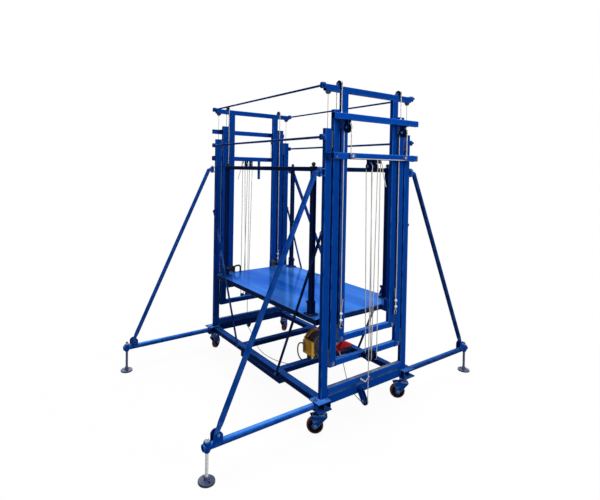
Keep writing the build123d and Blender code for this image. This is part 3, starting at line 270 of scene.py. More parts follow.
# the lighter red on upward faces is painted top light
paintFinish("redPaint", {**framePaint, "colour": (0.92, 0.004, 0.03), "second": (0.8, 0.004, 0.022),
                         "dark": (0.06, 0.002, 0.003), "chip": (0.75, 0.12, 0.13), "patch": 12.0, "dust": 0.6,
                         "dustAndTopLightTint": (0.95, 0.1, 0.15), "tint": (1.0, 0.3, 0.3), "metal": 0.15, "gloss": 0.02})
paintFinish("motorGrey", {**framePaint, "colour": (0.13, 0.12, 0.13), "second": (0.09, 0.085, 0.092),
                          "dark": (0.004, 0.004, 0.005), "chip": (0.22, 0.22, 0.23), "fine": 260.0, "dust": 0.2,
                          "dustAndTopLightTint": (0.2, 0.2, 0.21), "ripple": 0.001, "rough": (0.36, 0.5), "patch": 14.0,
                          "tint": (1.0, 1.0, 1.0), "metal": 0.0})
paintFinish("blockSteel", {**framePaint, "colour": (0.012, 0.016, 0.032), "second": (0.008, 0.01, 0.02),
                           "dark": (0.004, 0.004, 0.005), "chip": (0.12, 0.14, 0.2), "patch": 18.0, "wear": 0.7,
                           "gloss": 0.15, "dust": 0.1, "dustAndTopLightTint": (0.1, 0.12, 0.18), "tint": (0.7, 0.8, 1.0),
                           "metal": 0.0})
brightZinc = {"colour": (0.76, 0.77, 0.79), "second": (0.62, 0.63, 0.66), "dark": (0.03, 0.028, 0.025),
              "chip": (0.86, 0.86, 0.87), "grain": 60.0, "soil": 0.5, "scuff": 0.2, "wear": 0.3,
              "rough": (0.22, 0.36), "ripple": 0.0003, "metal": 1.0, "gloss": 0.5}
metalFinish("brightZinc", brightZinc)
metalFinish("blueZinc", {**brightZinc, "colour": (0.012, 0.05, 0.22), "second": (0.008, 0.037, 0.17), "metal": 0.5,
                         "chip": (0.22, 0.33, 0.6), "rough": (0.13, 0.2), "wear": 0.6, "gloss": 0.06, "scuff": 0.0})
metalFinish("padSteel", {**brightZinc, "colour": (0.07, 0.09, 0.18), "second": (0.045, 0.06, 0.13), "metal": 0.2,
                         "chip": (0.16, 0.2, 0.3), "rough": (0.34, 0.5), "wear": 0.5, "gloss": 0.15})
metalFinish("screwSteel", {**brightZinc, "colour": (0.66, 0.68, 0.7), "second": (0.52, 0.54, 0.56), "metal": 0.5,
                           "rough": (0.24, 0.36), "soil": 0.3, "gloss": 0.4})
metalFinish("turnedSteel", {**brightZinc, "colour": (0.3, 0.31, 0.33), "second": (0.22, 0.23, 0.25), "soil": 0.7,
                            "rough": (0.3, 0.46)})
metalFinish("wireRope", {**brightZinc, "colour": (0.56, 0.54, 0.5), "second": (0.42, 0.4, 0.36), "grain": 90.0,
                         "metal": 0.3, "rough": (0.3, 0.42), "scuff": 0.0, "wear": 0.0, "soil": 0.5,
                         "gloss": 0.3})
blackMoulding = {"colour": (0.010, 0.010, 0.011), "second": (0.016, 0.016, 0.017), "chip": (0.06, 0.06, 0.065),
                 "wear": 0.3, "dust": 0.1, "dustAndTopLightTint": (0.2, 0.2, 0.2), "rough": (0.3, 0.44), "grain": 700.0,
                 "ripple": 0.0002, "gloss": 0.2}
mouldedFinish("blackMoulding", blackMoulding)
mouldedFinish("wheelCore", {**blackMoulding, "colour": (0.005, 0.005, 0.006), "second": (0.008, 0.008, 0.009),
                            "rough": (0.34, 0.46), "gloss": 0.02, "dust": 0.02, "wear": 0.1})
mouldedFinish("maroonTread", {**blackMoulding, "colour": (0.12, 0.009, 0.015), "second": (0.085, 0.006, 0.01),
                              "chip": (0.25, 0.05, 0.05), "dust": 0.04, "rough": (0.34, 0.5), "ripple": 0.0004})
mouldedFinish("cableJacket", {**blackMoulding, "rough": (0.42, 0.56)})
mouldedFinish("nylonPad", {**blackMoulding, "colour": (0.026, 0.026, 0.03), "second": (0.018, 0.018, 0.022)})
print("finishes made", len(finishes))


# mesh helpers, in millimetres
def span(sign, low, high):
    return (low, high) if sign > 0 else (-high, -low)


def about(middle, half):
    return (middle - half, middle + half)


def nodeWord(word):
    # FrontRight becomes front_right
    return "".join("_" + c.lower() if c.isupper() else c for c in word).lstrip("_")


def crossAxes(way):
    along = Vector(way).normalized()
    first = along.orthogonal().normalized()
    return first, along.cross(first), along


def circle(centre, first, second, radius, steps):
    turns = [math.tau * i / steps for i in range(steps)]
    return [centre + first * (radius * math.cos(t)) + second * (radius * math.sin(t)) for t in turns]


def arc(centre, radius, start, turn, steps=12):
    # an arc in a plane, its angles in degrees
    angles = [math.radians(start + turn * i / steps) for i in range(steps + 1)]
    return [(centre[0] + radius * math.cos(t), centre[1] + radius * math.sin(t)) for t in angles]


def roundedLoop(halfA, halfB, radius, steps=4, held=()):
    # held adds points along each flat, which keep the edge wear and painted edge highlight near the corners
    turns = [arc((a * (halfA - radius), b * (halfB - radius)), radius, start, 90, steps)
             for a, b, start in ((1, 1, 0), (-1, 1, 90), (-1, -1, 180), (1, -1, 270))]
    loop = []
    for i, corner in enumerate(turns):
        first, second = Vector(corner[-1]), Vector(turns[(i + 1) % 4][0])
        loop += corner + [tuple(first.lerp(second, share)) for share in held]
    return loop


def roundedFoot(x, top, centre, radius):
    # a plate's outline with a half-round lower end
    return [(x[1], top), (x[0], top), *arc(centre, radius, 180, 180)]


def finLoop(root, tip, count, share=0.45):
    # a ring of fins, as offsets from its middle
    loop = []
    for i in range(count):
        middle, half = math.tau * i / count, math.pi / count * share
        for r, turn in ((root, -1.2), (tip, -1), (tip, 1), (root, 1.2)):
            angle = middle + half * turn
            loop.append((r * math.cos(angle), r * math.sin(angle)))
    return loop


def evenly(points, step):
    points = [Vector(p) for p in points]
    found = [points[0]]
    left = step
    for first, second in zip(points, points[1:]):
        run = (second - first).length
        at = left
        while at < run:
            found.append(first.lerp(second, at / run))
            at += step
        left = at - run
    if (found[-1] - points[-1]).length > step * 0.3:
        found.append(points[-1])
    else:
        found[-1] = points[-1]
    return found


class Shape:
    def __init__(self):
        self.mesh = bmesh.new()
        self.used = []

    def take(self, part, finish):
        if finish not in self.used:
            self.used.append(finish)
        bmesh.ops.recalc_face_normals(part, faces=part.faces)
        for face in part.faces:
            face.material_index = self.used.index(finish)
        self.gather(part)

    def gather(self, part):
        held = bpy.data.meshes.new("held")
        part.to_mesh(held)
        part.free()
        self.mesh.from_mesh(held)
        bpy.data.meshes.remove(held)

    def move(self, turn):
        bmesh.ops.transform(self.mesh, matrix=turn, verts=self.mesh.verts)
        if turn.determinant() < 0:
            bmesh.ops.reverse_faces(self.mesh, faces=self.mesh.faces)

    def absorb(self, other, turn):
        # take another shape in, once it is moved
        other.move(turn)
        self.used += [finish for finish in other.used if finish not in self.used]
        for face in other.mesh.faces:
            face.material_index = self.used.index(other.used[face.material_index])
        self.gather(other.mesh)

    def loft(self, rings, finish, closed=False):
        part = bmesh.new()
        rows = [[part.verts.new(p) for p in ring] for ring in rings]
        pairs = list(zip(rows, rows[1:])) + ([(rows[-1], rows[0])] if closed else [])
        for first, second in pairs:
            for i in range(len(first)):
                j = (i + 1) % len(first)
                part.faces.new((first[i], first[j], second[j], second[i]))
        if not closed:
            part.faces.new(rows[0])
            part.faces.new(rows[-1])
        self.take(part, finish)

    def turned(self, profile, foot, way, finish, steps=32, closed=False):
        first, second, along = crossAxes(way)
        self.loft([circle(Vector(foot) + along * h, first, second, r, steps) for r, h in profile], finish, closed)

    def rod(self, start, end, radius, finish, chamfer=0.6, steps=24):
        way = Vector(end) - Vector(start)
        length = way.length
        near = min(chamfer + edgeHold, length * 0.45)
        profile = [(radius - chamfer, 0), (radius, chamfer), (radius, near), (radius, length - near),
                   (radius, length - chamfer), (radius - chamfer, length)]
        self.turned(profile, start, way, finish, steps)

    def pipe(self, start, end, radius, finish, wall=3.0, steps=32, lip=0.7):
        way = Vector(end) - Vector(start)
        length = way.length
        profile = [(radius - lip, 0), (radius, lip), (radius, lip + edgeHold), (radius, length - lip - edgeHold),
                   (radius, length - lip), (radius - lip, length), (radius - wall, length), (radius - wall, 0)]
        self.turned(profile, start, way, finish, steps, True)

    def hexHead(self, foot, way, radius, height, finish="brightZinc"):
        self.turned([(radius, 0), (radius, height * 0.78), (radius * 0.86, height)], foot, way, finish, 6)

    def bolt(self, foot, way, radius, height, finish="brightZinc"):
        # washer, hexagon and the shank's end
        along = Vector(way).normalized()
        spot = Vector(foot)
        self.rod(spot, spot + along * 1.6, radius * 1.3, finish, 0.3)
        self.hexHead(spot + along * 1.6, way, radius, height - 2.4, finish)
        self.rod(spot + along * (height - 1.2), spot + along * height, radius * 0.55, finish, 0.3, 16)

    def threaded(self, start, end, radius, pitch, finish, depth=0.7, steps=20):
        way = Vector(end) - Vector(start)
        first, second, along = crossAxes(way)
        rows = max(4, int(way.length / pitch * 5))
        rings = []
        for i in range(rows + 1):
            h = way.length * i / rows
            ring = []
            for j in range(steps):
                turn = math.tau * j / steps
                r = radius - depth * (0.5 + 0.5 * math.cos(math.tau * h / pitch - turn))
                ring.append(Vector(start) + along * h + first * (r * math.cos(turn)) + second * (r * math.sin(turn)))
            rings.append(ring)
        self.loft(rings, finish)

    def boxTube(self, x, y, z, along, finish="bluePaint", wall=3.0, radius=5.0, weld=(), lip=0.6):
        ranges = (x, y, z)
        a, b = [i for i in range(3) if i != along]
        middles = [(low + high) / 2 for low, high in ranges]
        halfA, halfB = [(ranges[i][1] - ranges[i][0]) / 2 for i in (a, b)]
        held = (0.12, 0.88)
        outer = roundedLoop(halfA, halfB, radius, held=held)
        rounded = roundedLoop(halfA - lip, halfB - lip, radius - lip, held=held)
        inner = roundedLoop(halfA - wall, halfB - wall, max(radius - wall, 1.0), held=held)
        low, high = ranges[along]

        def ringAt(loop, height):
            ring = []
            for p, q in loop:
                spot = list(middles)
                spot[a] += p
                spot[b] += q
                spot[along] = height
                ring.append(spot)
            return ring
        heights = ((rounded, low), (outer, low + lip), (outer, low + lip + edgeHold), (outer, high - lip - edgeHold),
                   (outer, high - lip), (rounded, high), (inner, high), (inner, low))
        self.loft([ringAt(loop, height) for loop, height in heights], finish, True)
        for end in weld:  # a bead of weld round the chosen end
            height = low + 0.8 if end < 0 else high - 0.8
            self.bead(ringAt(roundedLoop(halfA + 0.6, halfB + 0.6, radius, 2), height), finish)

    def bead(self, loop, finish, radius=2.0):
        closedLoop = evenly([*loop, loop[0]], 3.4)[:-1]
        centre = sum(closedLoop, Vector()) / len(closedLoop)
        rings = []
        for i, spot in enumerate(closedLoop):
            way = closedLoop[(i + 1) % len(closedLoop)] - closedLoop[i - 1]
            outward = (spot - centre - way * ((spot - centre).dot(way) / way.length_squared)).normalized()
            r = radius * (1 + 0.16 * (i % 2) + random.uniform(-0.1, 0.1))
            rings.append(circle(spot, outward, way.normalized().cross(outward), r, 6))
        self.loft(rings, finish, True)

    def block(self, x, y, z, finish="bluePaint", bevel=1.2, segments=2):
        part = bmesh.new()
        bmesh.ops.create_cube(part, size=1.0)
        for vert in part.verts:
            vert.co = [low + (c + 0.5) * (high - low) for c, (low, high) in zip(vert.co, (x, y, z))]
        bevel = min(bevel, *[(high - low) * 0.45 for low, high in (x, y, z)])
        bmesh.ops.bevel(part, geom=part.edges[:], offset=bevel, segments=segments, profile=0.5, affect="EDGES")
        flats = sorted(part.faces, key=lambda face: -face.calc_area())[:6]
        thin = min(high - low for low, high in (x, y, z)) - 2 * bevel
        bmesh.ops.inset_individual(part, faces=flats, thickness=min(edgeHold, thin * 0.3), use_even_offset=True)
        self.take(part, finish)

    def slab(self, outline, axis, low, high, finish="bluePaint", bevel=0.8):
        part = bmesh.new()
        order = {"x": (2, 0, 1), "y": (0, 2, 1), "z": (0, 1, 2)}[axis]
        rows = [[part.verts.new([(a, b, c)[i] for i in order]) for a, b in outline] for c in (low, high)]
        caps = [part.faces.new(row) for row in rows]
        for i in range(len(outline)):
            j = (i + 1) % len(outline)
            part.faces.new((rows[0][i], rows[0][j], rows[1][j], rows[1][i]))
        rims = list({edge for cap in caps for edge in cap.edges})
        bmesh.ops.bevel(part, geom=rims, offset=bevel, segments=2, profile=0.5, affect="EDGES")
        flats = sorted(part.faces, key=lambda face: -face.calc_area())[:2]
        bmesh.ops.inset_individual(part, faces=flats, thickness=edgeHold / 2, use_even_offset=True)
        self.take(part, finish)

    def sweep(self, path, section, finish, twist=0.0):
        # section holds the ring's radii, and twist turns it by so much for each millimetre
        points = [Vector(p) for p in path]
        first = None
        rings = []
        run = 0.0
        for i, spot in enumerate(points):
            way = (points[min(i + 1, len(points) - 1)] - points[max(i - 1, 0)]).normalized()
            first = crossAxes(way)[0] if first is None else (first - way * first.dot(way)).normalized()
            second = way.cross(first)
            run += (spot - points[i - 1]).length if i else 0.0
            ring = []
            for j, r in enumerate(section):
                turn = math.tau * j / len(section) + run * twist
                ring.append(spot + first * (r * math.cos(turn)) + second * (r * math.sin(turn)))
            rings.append(ring)
        self.loft(rings, finish)

    def rope(self, path, radius=3.0, finish="wireRope", step=4.0):
        # six strands laid round each other
        section = [radius * (0.84 + 0.16 * abs(math.cos(3 * math.tau * j / 18))) for j in range(18)]
        self.sweep(evenly(path, step), section, finish, math.tau / (radius * 16))

    def piece(self, name, body=None, replaces=(), slot=None, flip=False, sharp=38.0):
        if flip:
            self.move(mirrorX)
        self.move(Matrix.Scale(0.001, 4))
        mesh = bpy.data.meshes.new(name)
        self.mesh.to_mesh(mesh)
        self.mesh.free()
        for finish in self.used:
            mesh.materials.append(finishes[finish])
        mesh.polygons.foreach_set("use_smooth", [True] * len(mesh.polygons))
        mesh.set_sharp_from_angle(angle=math.radians(sharp))
        made = bpy.data.objects.new(name, mesh)
        bpy.context.scene.collection.objects.link(made)
        made.modifiers.new("shading", "WEIGHTED_NORMAL").keep_sharp = True
        if body:
            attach(made, body)
        if replaces:
            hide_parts(*replaces)
        return made


# the two masts, each of three stages
tower = {"x": 727, "depth": 30, "width": 55, "bar": 40, "standOff": 42, "beamHalf": 393, "face": 400, "pad": 3,
         "padLength": 100, "stub": 20}
postX = about(tower["x"], tower["depth"] / 2)
padX = (postX[0] + tower["pad"], postX[1] - tower["pad"])
beamX = (postX[1] + tower["standOff"], postX[1] + tower["standOff"] + tower["depth"])
outerStage = {"y": 372.5, "foot": 213, "top": 1885, "bar": 232, "beam": 1697, "barPaint": "dustyPaint",
              "pads": [(333.5, 345, 1770)], "beamBolts": (1709, 1725)}
middleStage = {"y": 305.5, "foot": 395, "top": 2005, "bar": 395, "beam": 1938, "bolt": 415,
               "pads": [(333, 344.5, 410), (266.5, 278, 1890)]}
innerStage = {"y": 238.5, "foot": 540, "top": 2115, "bar": 540, "beamTop": 2155, "bolt": 560,
              "pads": [(266, 277.5, 555)]}
stageBolt = {"r": 11.6, "high": 10}  # at the foot of each moving post
packing = {"thick": 2.5, "y": (346, 361), "z": 1785, "half": 26, "screwY": 352.5, "screwZ": (1775, 1796)}
tackle = {"x": 790, "r": 26, "step": 25, "upper": 1655, "lower": 415, "becket": 1675, "becketX": (798, 822),
          "becketHalf": 4, "upperHalf": 13, "lowerHalf": 18, "setBack": 2, "axle": 8,
          "starts": {"Right": (10, -1), "Left": (-65, 1)}}  # first sheave's place across, and the others' way
basePulley = {"x": 788, "z": 135, "r": 28, "round": 20, "reach": 26}
stageSheave = {"x": 790, "y": 262, "z": 1893, "r": 32, "hanger": 16, "ropeFoot": 762}
topSheave = {"y": 280, "z": 2165, "r": 24, "notch": 13, "floor": 2134, "anchor": 1992, "axle": 7,
            "ropeFoot": 860, "cheekSide": (11, 2171), "cheekTip": (7, 2178)}
ropeAnchor = {"x": (744, 784), "y": (274.5, 285.5), "z": (1960, 1978), "rodX": 751, "rodTop": 1991.5, "rodR": 4.5}
equaliser = {"x": 822, "y": 247, "z": 1717, "r": 15, "pin": 5, "pinLength": 16, "nutAt": 13,
             "ring": [(5.2, -6), (17.4, -6), (18, -5.4), (18, -4.4), (12.4, -1), (12.4, 1), (18, 4.4), (18, 5.4),
                      (17.4, 6), (5.2, 6)]}
hinge = {"y": 430, "r": 18, "pin": 8, "lugs": (1590, 1632), "thick": 8, "over": 3,
         "pins": ((152, 213), (1585, 1640))}
mastRod = {"y": 414, "z": 1830, "r": 8}
topRod = {"y": 415, "z": 2145, "r": 7}
rodBlock = {"past": 14, "half": 18}  # the block that each rod's end goes through
rodEnd = {"plain": 690, "thread": (689, 757), "nut": 5, "nutHigh": 10}
limitCord = {"y": 372.5, "low": 300, "high": 2095, "r": 1.5, "lug": 20, "lugHalf": 6}
eyePin = {"y": 254, "z": 648, "r": 4.9, "x": 766, "head": 4}
striker = {"x": (788, 810), "y": (98, 116), "z": (1527, 1697), "bolt": (799, 98, 1545)}
cheekSize = {"plate": (8, 13), "nutAt": 12.5, "nutHigh": 3.5, "axleHalf": 12.6}


def sheavePlaces(name):
    first, way = tackle["starts"][name]
    return [first + way * tackle["step"] * i for i in range(4)]


# the cheeks default to the dark navy copy of the blue, painted shade
def cheekPair(shape, across, outline, spot, axle, finish="navyPaint", nut=1.25):
    # two side plates about a sheave, with the axle and the nuts outside them
    for way in (-1, 1):
        shape.slab(outline, "y", *[across + v for v in span(way, *cheekSize["plate"])], finish)
        nutFoot = (spot[0], across + way * cheekSize["nutAt"], spot[1])
        shape.hexHead(nutFoot, (0, way, 0), axle * nut, cheekSize["nutHigh"], "blueZinc")
    start, end = about(across, cheekSize["axleHalf"])
    shape.rod((spot[0], start, spot[1]), (spot[0], end, spot[1]), axle, "turnedSteel")


def ladder(shape, stage):
    inside = stage["y"] - tower["width"] / 2
    for sign in (-1, 1):
        shape.boxTube(postX, span(sign, inside, inside + tower["width"]), (stage["foot"], stage["top"]), 2)
    bar = (stage["bar"], stage["bar"] + tower["bar"])
    # bars and beams carry a painted top light on their upper faces, except the outer stage's dusty bar
    shape.boxTube(postX, (-inside, inside), bar, 1, stage.get("barPaint", "barPaint"), weld=(-1, 1))
    if "beam" in stage:
        beam = (stage["beam"], stage["beam"] + tower["bar"])
        shape.boxTube(beamX, (-tower["beamHalf"], tower["beamHalf"]), beam, 1, "barPaint")
        for sign in (-1, 1):
            shape.boxTube((postX[1], beamX[0]), about(sign * stage["y"], tower["stub"]), beam, 0, weld=(-1, 1))


def guidePads(shape, sign, stage):
    for low, high, foot in stage["pads"]:
        shape.block(padX, span(sign, low, high), (foot, foot + tower["padLength"]), "nylonPad", 2.0)


def rodSeat(shape, sign, rod):
    y = span(sign, tower["face"], rod["y"] + rodBlock["past"])
    shape.block(padX, y, about(rod["z"], rodBlock["half"]), bevel=2.0)


def outerMast(name):
    shape = Shape()
    ladder(shape, outerStage)
    first = sheavePlaces(name)[0]
    low, high = postX[0] - hinge["over"], postX[1] + hinge["over"]
    for sign in (-1, 1):
        for foot in hinge["lugs"]:
            lug = [(high, sign * tower["face"]), *arc((tower["x"], sign * hinge["y"]), hinge["r"], 0, sign * 180),
                   (low, sign * tower["face"])]
            shape.slab(lug, "z", foot, foot + hinge["thick"])
        rodSeat(shape, sign, mastRod)
        guidePads(shape, sign, outerStage)
        # a dark packing plate and its two screws beside each top pad
        plateX = (postX[1], postX[1] + packing["thick"])
        shape.block(plateX, span(sign, *packing["y"]), about(packing["z"], packing["half"]), "blockSteel", 0.8)
        for z in packing["screwZ"]:
            shape.bolt((postX[1] + 2, sign * packing["screwY"], z), (1, 0, 0), 6.4, 8, "blueZinc")
        pin = (beamX[1], sign * equaliser["y"], equaliser["z"])
        shape.rod(pin, (pin[0] + equaliser["pinLength"], *pin[1:]), equaliser["pin"], "turnedSteel")
        shape.hexHead((pin[0] + equaliser["nutAt"], *pin[1:]), (1, 0, 0), 7, 3)
        shape.turned(equaliser["ring"], (equaliser["x"], *pin[1:]), (1, 0, 0), "blueZinc", 40, True)
    spot, half = (tackle["x"], tackle["upper"]), tackle["upperHalf"]
    block = roundedFoot(about(tackle["x"], half), outerStage["beam"], spot, half)
    for across in sheavePlaces(name)[1::2]:
        cheekPair(shape, across, block, spot, tackle["axle"])
    becketZ = (tackle["becket"], outerStage["beam"])
    shape.block(tackle["becketX"], about(first, tackle["becketHalf"]), becketZ, "turnedSteel")
    if name == "Left":  # a flat striker that hangs from the beam
        shape.block(striker["x"], striker["y"], striker["z"], bevel=1.5)
        shape.bolt(striker["bolt"], (0, -1, 0), 6, 6, "blueZinc")
    shape.piece(f"outerMast{name}", "base", [f"outer_mast_{name.lower()}"], "mast_paint", name == "Left")


def middleMast(name):
    shape = Shape()
    ladder(shape, middleStage)
    spot, half = (stageSheave["x"], stageSheave["z"]), stageSheave["hanger"]
    hanger = roundedFoot(about(stageSheave["x"], half), middleStage["beam"], spot, half)
    for sign in (-1, 1):
        guidePads(shape, sign, middleStage)
        boltFoot = (postX[1], sign * middleStage["y"], middleStage["bolt"])
        shape.bolt(boltFoot, (1, 0, 0), stageBolt["r"], stageBolt["high"], "blueZinc")
        cheekPair(shape, sign * stageSheave["y"], hanger, spot, tackle["axle"])
        shape.block(ropeAnchor["x"], span(sign, *ropeAnchor["y"]), ropeAnchor["z"], bevel=1.5)
        x, y, low = ropeAnchor["rodX"], sign * topSheave["y"], ropeAnchor["z"][1]
        shape.rod((x, y, low), (x, y, ropeAnchor["rodTop"]), ropeAnchor["rodR"], "brightZinc")
        shape.hexHead((x, y, low), (0, 0, 1), 7.5, 6)
    spot, half = (tackle["x"], tackle["lower"]), tackle["lowerHalf"]
    low, high = about(tackle["lower"], half)
    nose = arc((tackle["x"] - tackle["setBack"], tackle["lower"]), half, -90, 180)
    block = [(postX[1], high), (postX[1], low), *nose]
    for across in sheavePlaces(name)[0::2]:
        cheekPair(shape, across, block, spot, tackle["axle"])
    body = f"middle_{name.lower()}"
    shape.piece(f"middleMast{name}", body, [f"middle_mast_{name.lower()}"], "mast_paint", name == "Left")


def innerMast(name):
    shape = Shape()
    ladder(shape, innerStage)
    top, notch = innerStage["top"], topSheave["notch"]
    cuts = (topSheave["y"] - notch, topSheave["y"] + notch)
    for low, high in ((-tower["face"], -cuts[1]), (-cuts[0], cuts[0]), (cuts[1], tower["face"])):
        shape.boxTube(postX, (low, high), (top, innerStage["beamTop"]), 1)
    (sideX, sideZ), (tipX, tipZ) = topSheave["cheekSide"], topSheave["cheekTip"]
    cheek = [(postX[0], topSheave["floor"]), (postX[1], topSheave["floor"]), (postX[1], innerStage["beamTop"]),
             (tower["x"] + sideX, sideZ), (tower["x"] + tipX, tipZ), (tower["x"] - tipX, tipZ),
             (tower["x"] - sideX, sideZ), (postX[0], innerStage["beamTop"])]
    for sign in (-1, 1):
        shape.block(postX, span(sign, *cuts), (top, topSheave["floor"] - 0.5), bevel=1.0)
        cheekPair(shape, sign * topSheave["y"], cheek, (tower["x"], topSheave["z"]), topSheave["axle"], nut=1.15)
        rodSeat(shape, sign, topRod)
        guidePads(shape, sign, innerStage)
        boltFoot = (postX[1], sign * innerStage["y"], innerStage["bolt"])
        shape.bolt(boltFoot, (1, 0, 0), stageBolt["r"], stageBolt["high"], "blueZinc")
        pin = (sign * eyePin["y"], eyePin["z"])
        shape.rod((postX[1], *pin), (eyePin["x"], *pin), eyePin["r"], "blueZinc")
        head = eyePin["head"]
        shape.hexHead((eyePin["x"] - head, *pin), (1, 0, 0), eyePin["r"] * 1.2, head, "navyPaint")
        lug = arc((sign * limitCord["y"], top), limitCord["lug"], 180, 180, 18)
        shape.slab(lug, "x", *about(tower["x"], limitCord["lugHalf"]), "blockSteel", 1.2)
    shape.piece(f"innerMast{name}", "inner", [f"inner_mast_{name.lower()}"], "mast_paint", name == "Left")


sheaveSize = {"half": 6, "lip": 1.6, "groove": 3.4, "bore": 8.3, "hub": 5, "dish": 1.8, "rim": 6, "edge": 0.6}


def sheave(shape, spot, pitch, bore=sheaveSize["bore"]):
    half, lip = sheaveSize["half"], pitch + sheaveSize["lip"]
    hub, dish, rim = bore + sheaveSize["hub"], half - sheaveSize["dish"], pitch - sheaveSize["rim"]
    edge = sheaveSize["edge"]
    side = [(bore, half), (hub, half), (hub + 1, dish), (rim - 1, dish), (rim, half), (lip - edge, half),
            (lip, half - edge), (lip, half - 2 * edge)]
    groove = arc((pitch, 0), sheaveSize["groove"], 90, 180, 8)
    profile = [*side, *groove, *[(r, -h) for r, h in side[::-1]]]
    # the sheaves take the dark navy copy of the blue, painted shade
    shape.turned(profile, spot, (0, 1, 0), "navyPaint", 48, True)


def sheaves(name):
    places = sheavePlaces(name)
    word, flip = name.lower(), name == "Left"
    sets = {"base_pulley": ("basePulley", basePulley["x"], basePulley["z"], basePulley["r"], [places[3]]),
            "upper_block": ("upperSheaves", tackle["x"], tackle["upper"], tackle["r"], places[1::2]),
            "lower_block": ("lowerSheaves", tackle["x"], tackle["lower"], tackle["r"], places[0::2]),
            "stage_sheave": ("stageSheaves", stageSheave["x"], stageSheave["z"], stageSheave["r"],
                             [-stageSheave["y"], stageSheave["y"]]),
            "top_sheave": ("topSheaves", tower["x"], topSheave["z"], topSheave["r"], [-topSheave["y"], topSheave["y"]])}
    for body, (made, x, z, pitch, across) in sets.items():
        shape = Shape()
        for y in across:
            sheave(shape, (x, y, z), pitch, sheaveSize["bore"] - (1 if body == "top_sheave" else 0))
        node = {"base_pulley": "base_pulley", "stage_sheave": "stage_sheaves", "top_sheave": "top_sheaves"}.get(
            body, f"{body}_sheaves")
        shape.piece(made + name, f"{body}_{word}", [f"{node}_{word}"], "sheave_steel", flip)


for name in sides:
    outerMast(name)
    middleMast(name)
    innerMast(name)
    sheaves(name)
print("masts made")

base = {"low": 165, "high": 205, "end": 775, "endBeam": 225, "inside": 345, "outside": 400, "drop": (-230, 300),
        "members": (-270, 240), "memberHalf": 25, "plateNear": 690, "plateTop": 780, "plateLow": 785, "plateOut": 450,
        "thick": 8, "dropHigh": 40, "cap": 3, "strip": 340, "sunk": 0.5}
postWeld = {"half": (15.6, 28.1), "round": 5.6, "rise": 0.5, "bead": 2.6}
knee = {"foot": (272, 190), "top": (727, 1240), "y": 406, "half": (8, 6), "wall": 2, "overhang": 14, "bolt": 7,
        "boltY": 412}


def baseFrame():
    shape = Shape()
    level = (base["low"], base["high"])
    inside = (-base["inside"], base["inside"])
    # the beams, drops and cross members take that darker copy of the blue, painted shade
    for sign in (-1, 1):
        y = span(sign, base["inside"], base["outside"])
        shape.boxTube((-base["end"], base["end"]), y, level, 0, "beamPaint")
        drop = (base["low"] - base["dropHigh"], base["low"])
        shape.boxTube(base["drop"], y, drop, 0, "beamPaint")
        for x, way in zip(base["drop"], (1, -1)):  # welded end caps
            cap = sorted((x, x + way * base["cap"]))
            shape.block(cap, span(sign, base["inside"] + 1, base["outside"] - 1), (drop[0] + 1, drop[1] - 1), bevel=0.4)
    for x in base["members"]:
        shape.boxTube(about(x, base["memberHalf"]), inside, level, 1, "beamPaint", weld=(-1, 1))
    spot = (basePulley["x"], basePulley["z"])
    outline = [(postX[1], base["high"]), (postX[1], base["low"]), *arc(spot, basePulley["round"], 225, 165, 11),
               (postX[1] + basePulley["reach"], base["high"])]
    for name, side in sides.items():
        end = Shape()
        end.boxTube(postX, inside, (base["low"], base["endBeam"]), 1, "bluePaint" if side > 0 else "shadePaint",
                    weld=(-1, 1))
        strip = (base["endBeam"] - base["sunk"], outerStage["bar"] + base["sunk"])
        end.block(padX, about(0, base["strip"]), strip, "blockSteel", 0.5)  # a near-black strip filling the gap between beam and bar, painted shade in that groove
        cheekPair(end, sheavePlaces(name)[3], outline, spot, tackle["axle"], "bluePaint")
        shape.absorb(end, Matrix.Identity(4) if side > 0 else mirrorX)
    for sx, sy in corners.values():
        y = span(sy, base["inside"], base["plateOut"])
        top = span(sx, base["plateNear"], base["plateTop"])
        # the upper plate has painted shade and a painted top light; the lower plate is a darker copy of the blue,
        # painted shade
        shape.block(top, y, (base["high"], base["high"] + base["thick"]), "platePaint", 1.2)
        low = span(sx, base["plateNear"], base["plateLow"])
        shape.block(low, y, (base["low"] - base["thick"], base["low"]), "shadePaint", 1.2)
        foot = [(sx * (tower["x"] + a), sy * outerStage["y"] + b, outerStage["foot"] + postWeld["rise"])
                for a, b in roundedLoop(*postWeld["half"], postWeld["round"], 2)]
        shape.bead([Vector(p) for p in foot], "bluePaint", postWeld["bead"])
    shape.piece("baseFrame", "base", ["base_frame"], "mast_paint")


def tieRods(name, body, node, size):
    shape = Shape()
    z, radius = size["z"], size["r"]
    for sign in (-1, 1):
        spot = sign * size["y"]
        shape.rod((-rodEnd["plain"], spot, z), (rodEnd["plain"], spot, z), radius, "shadePaint")
        for side in (-1, 1):
            start, end = [(side * x, spot, z) for x in rodEnd["thread"]]
            shape.threaded(start, end, radius - 0.2, 2.0, "bluePaint", 0.9, 16)
            for low in (padX[0] - rodEnd["nutHigh"], padX[1]):
                nutFoot = (side * low, spot, z)
                shape.hexHead(nutFoot, (side, 0, 0), radius + rodEnd["nut"], rodEnd["nutHigh"], "bluePaint")
    shape.piece(name, body, [node], "mast_paint")


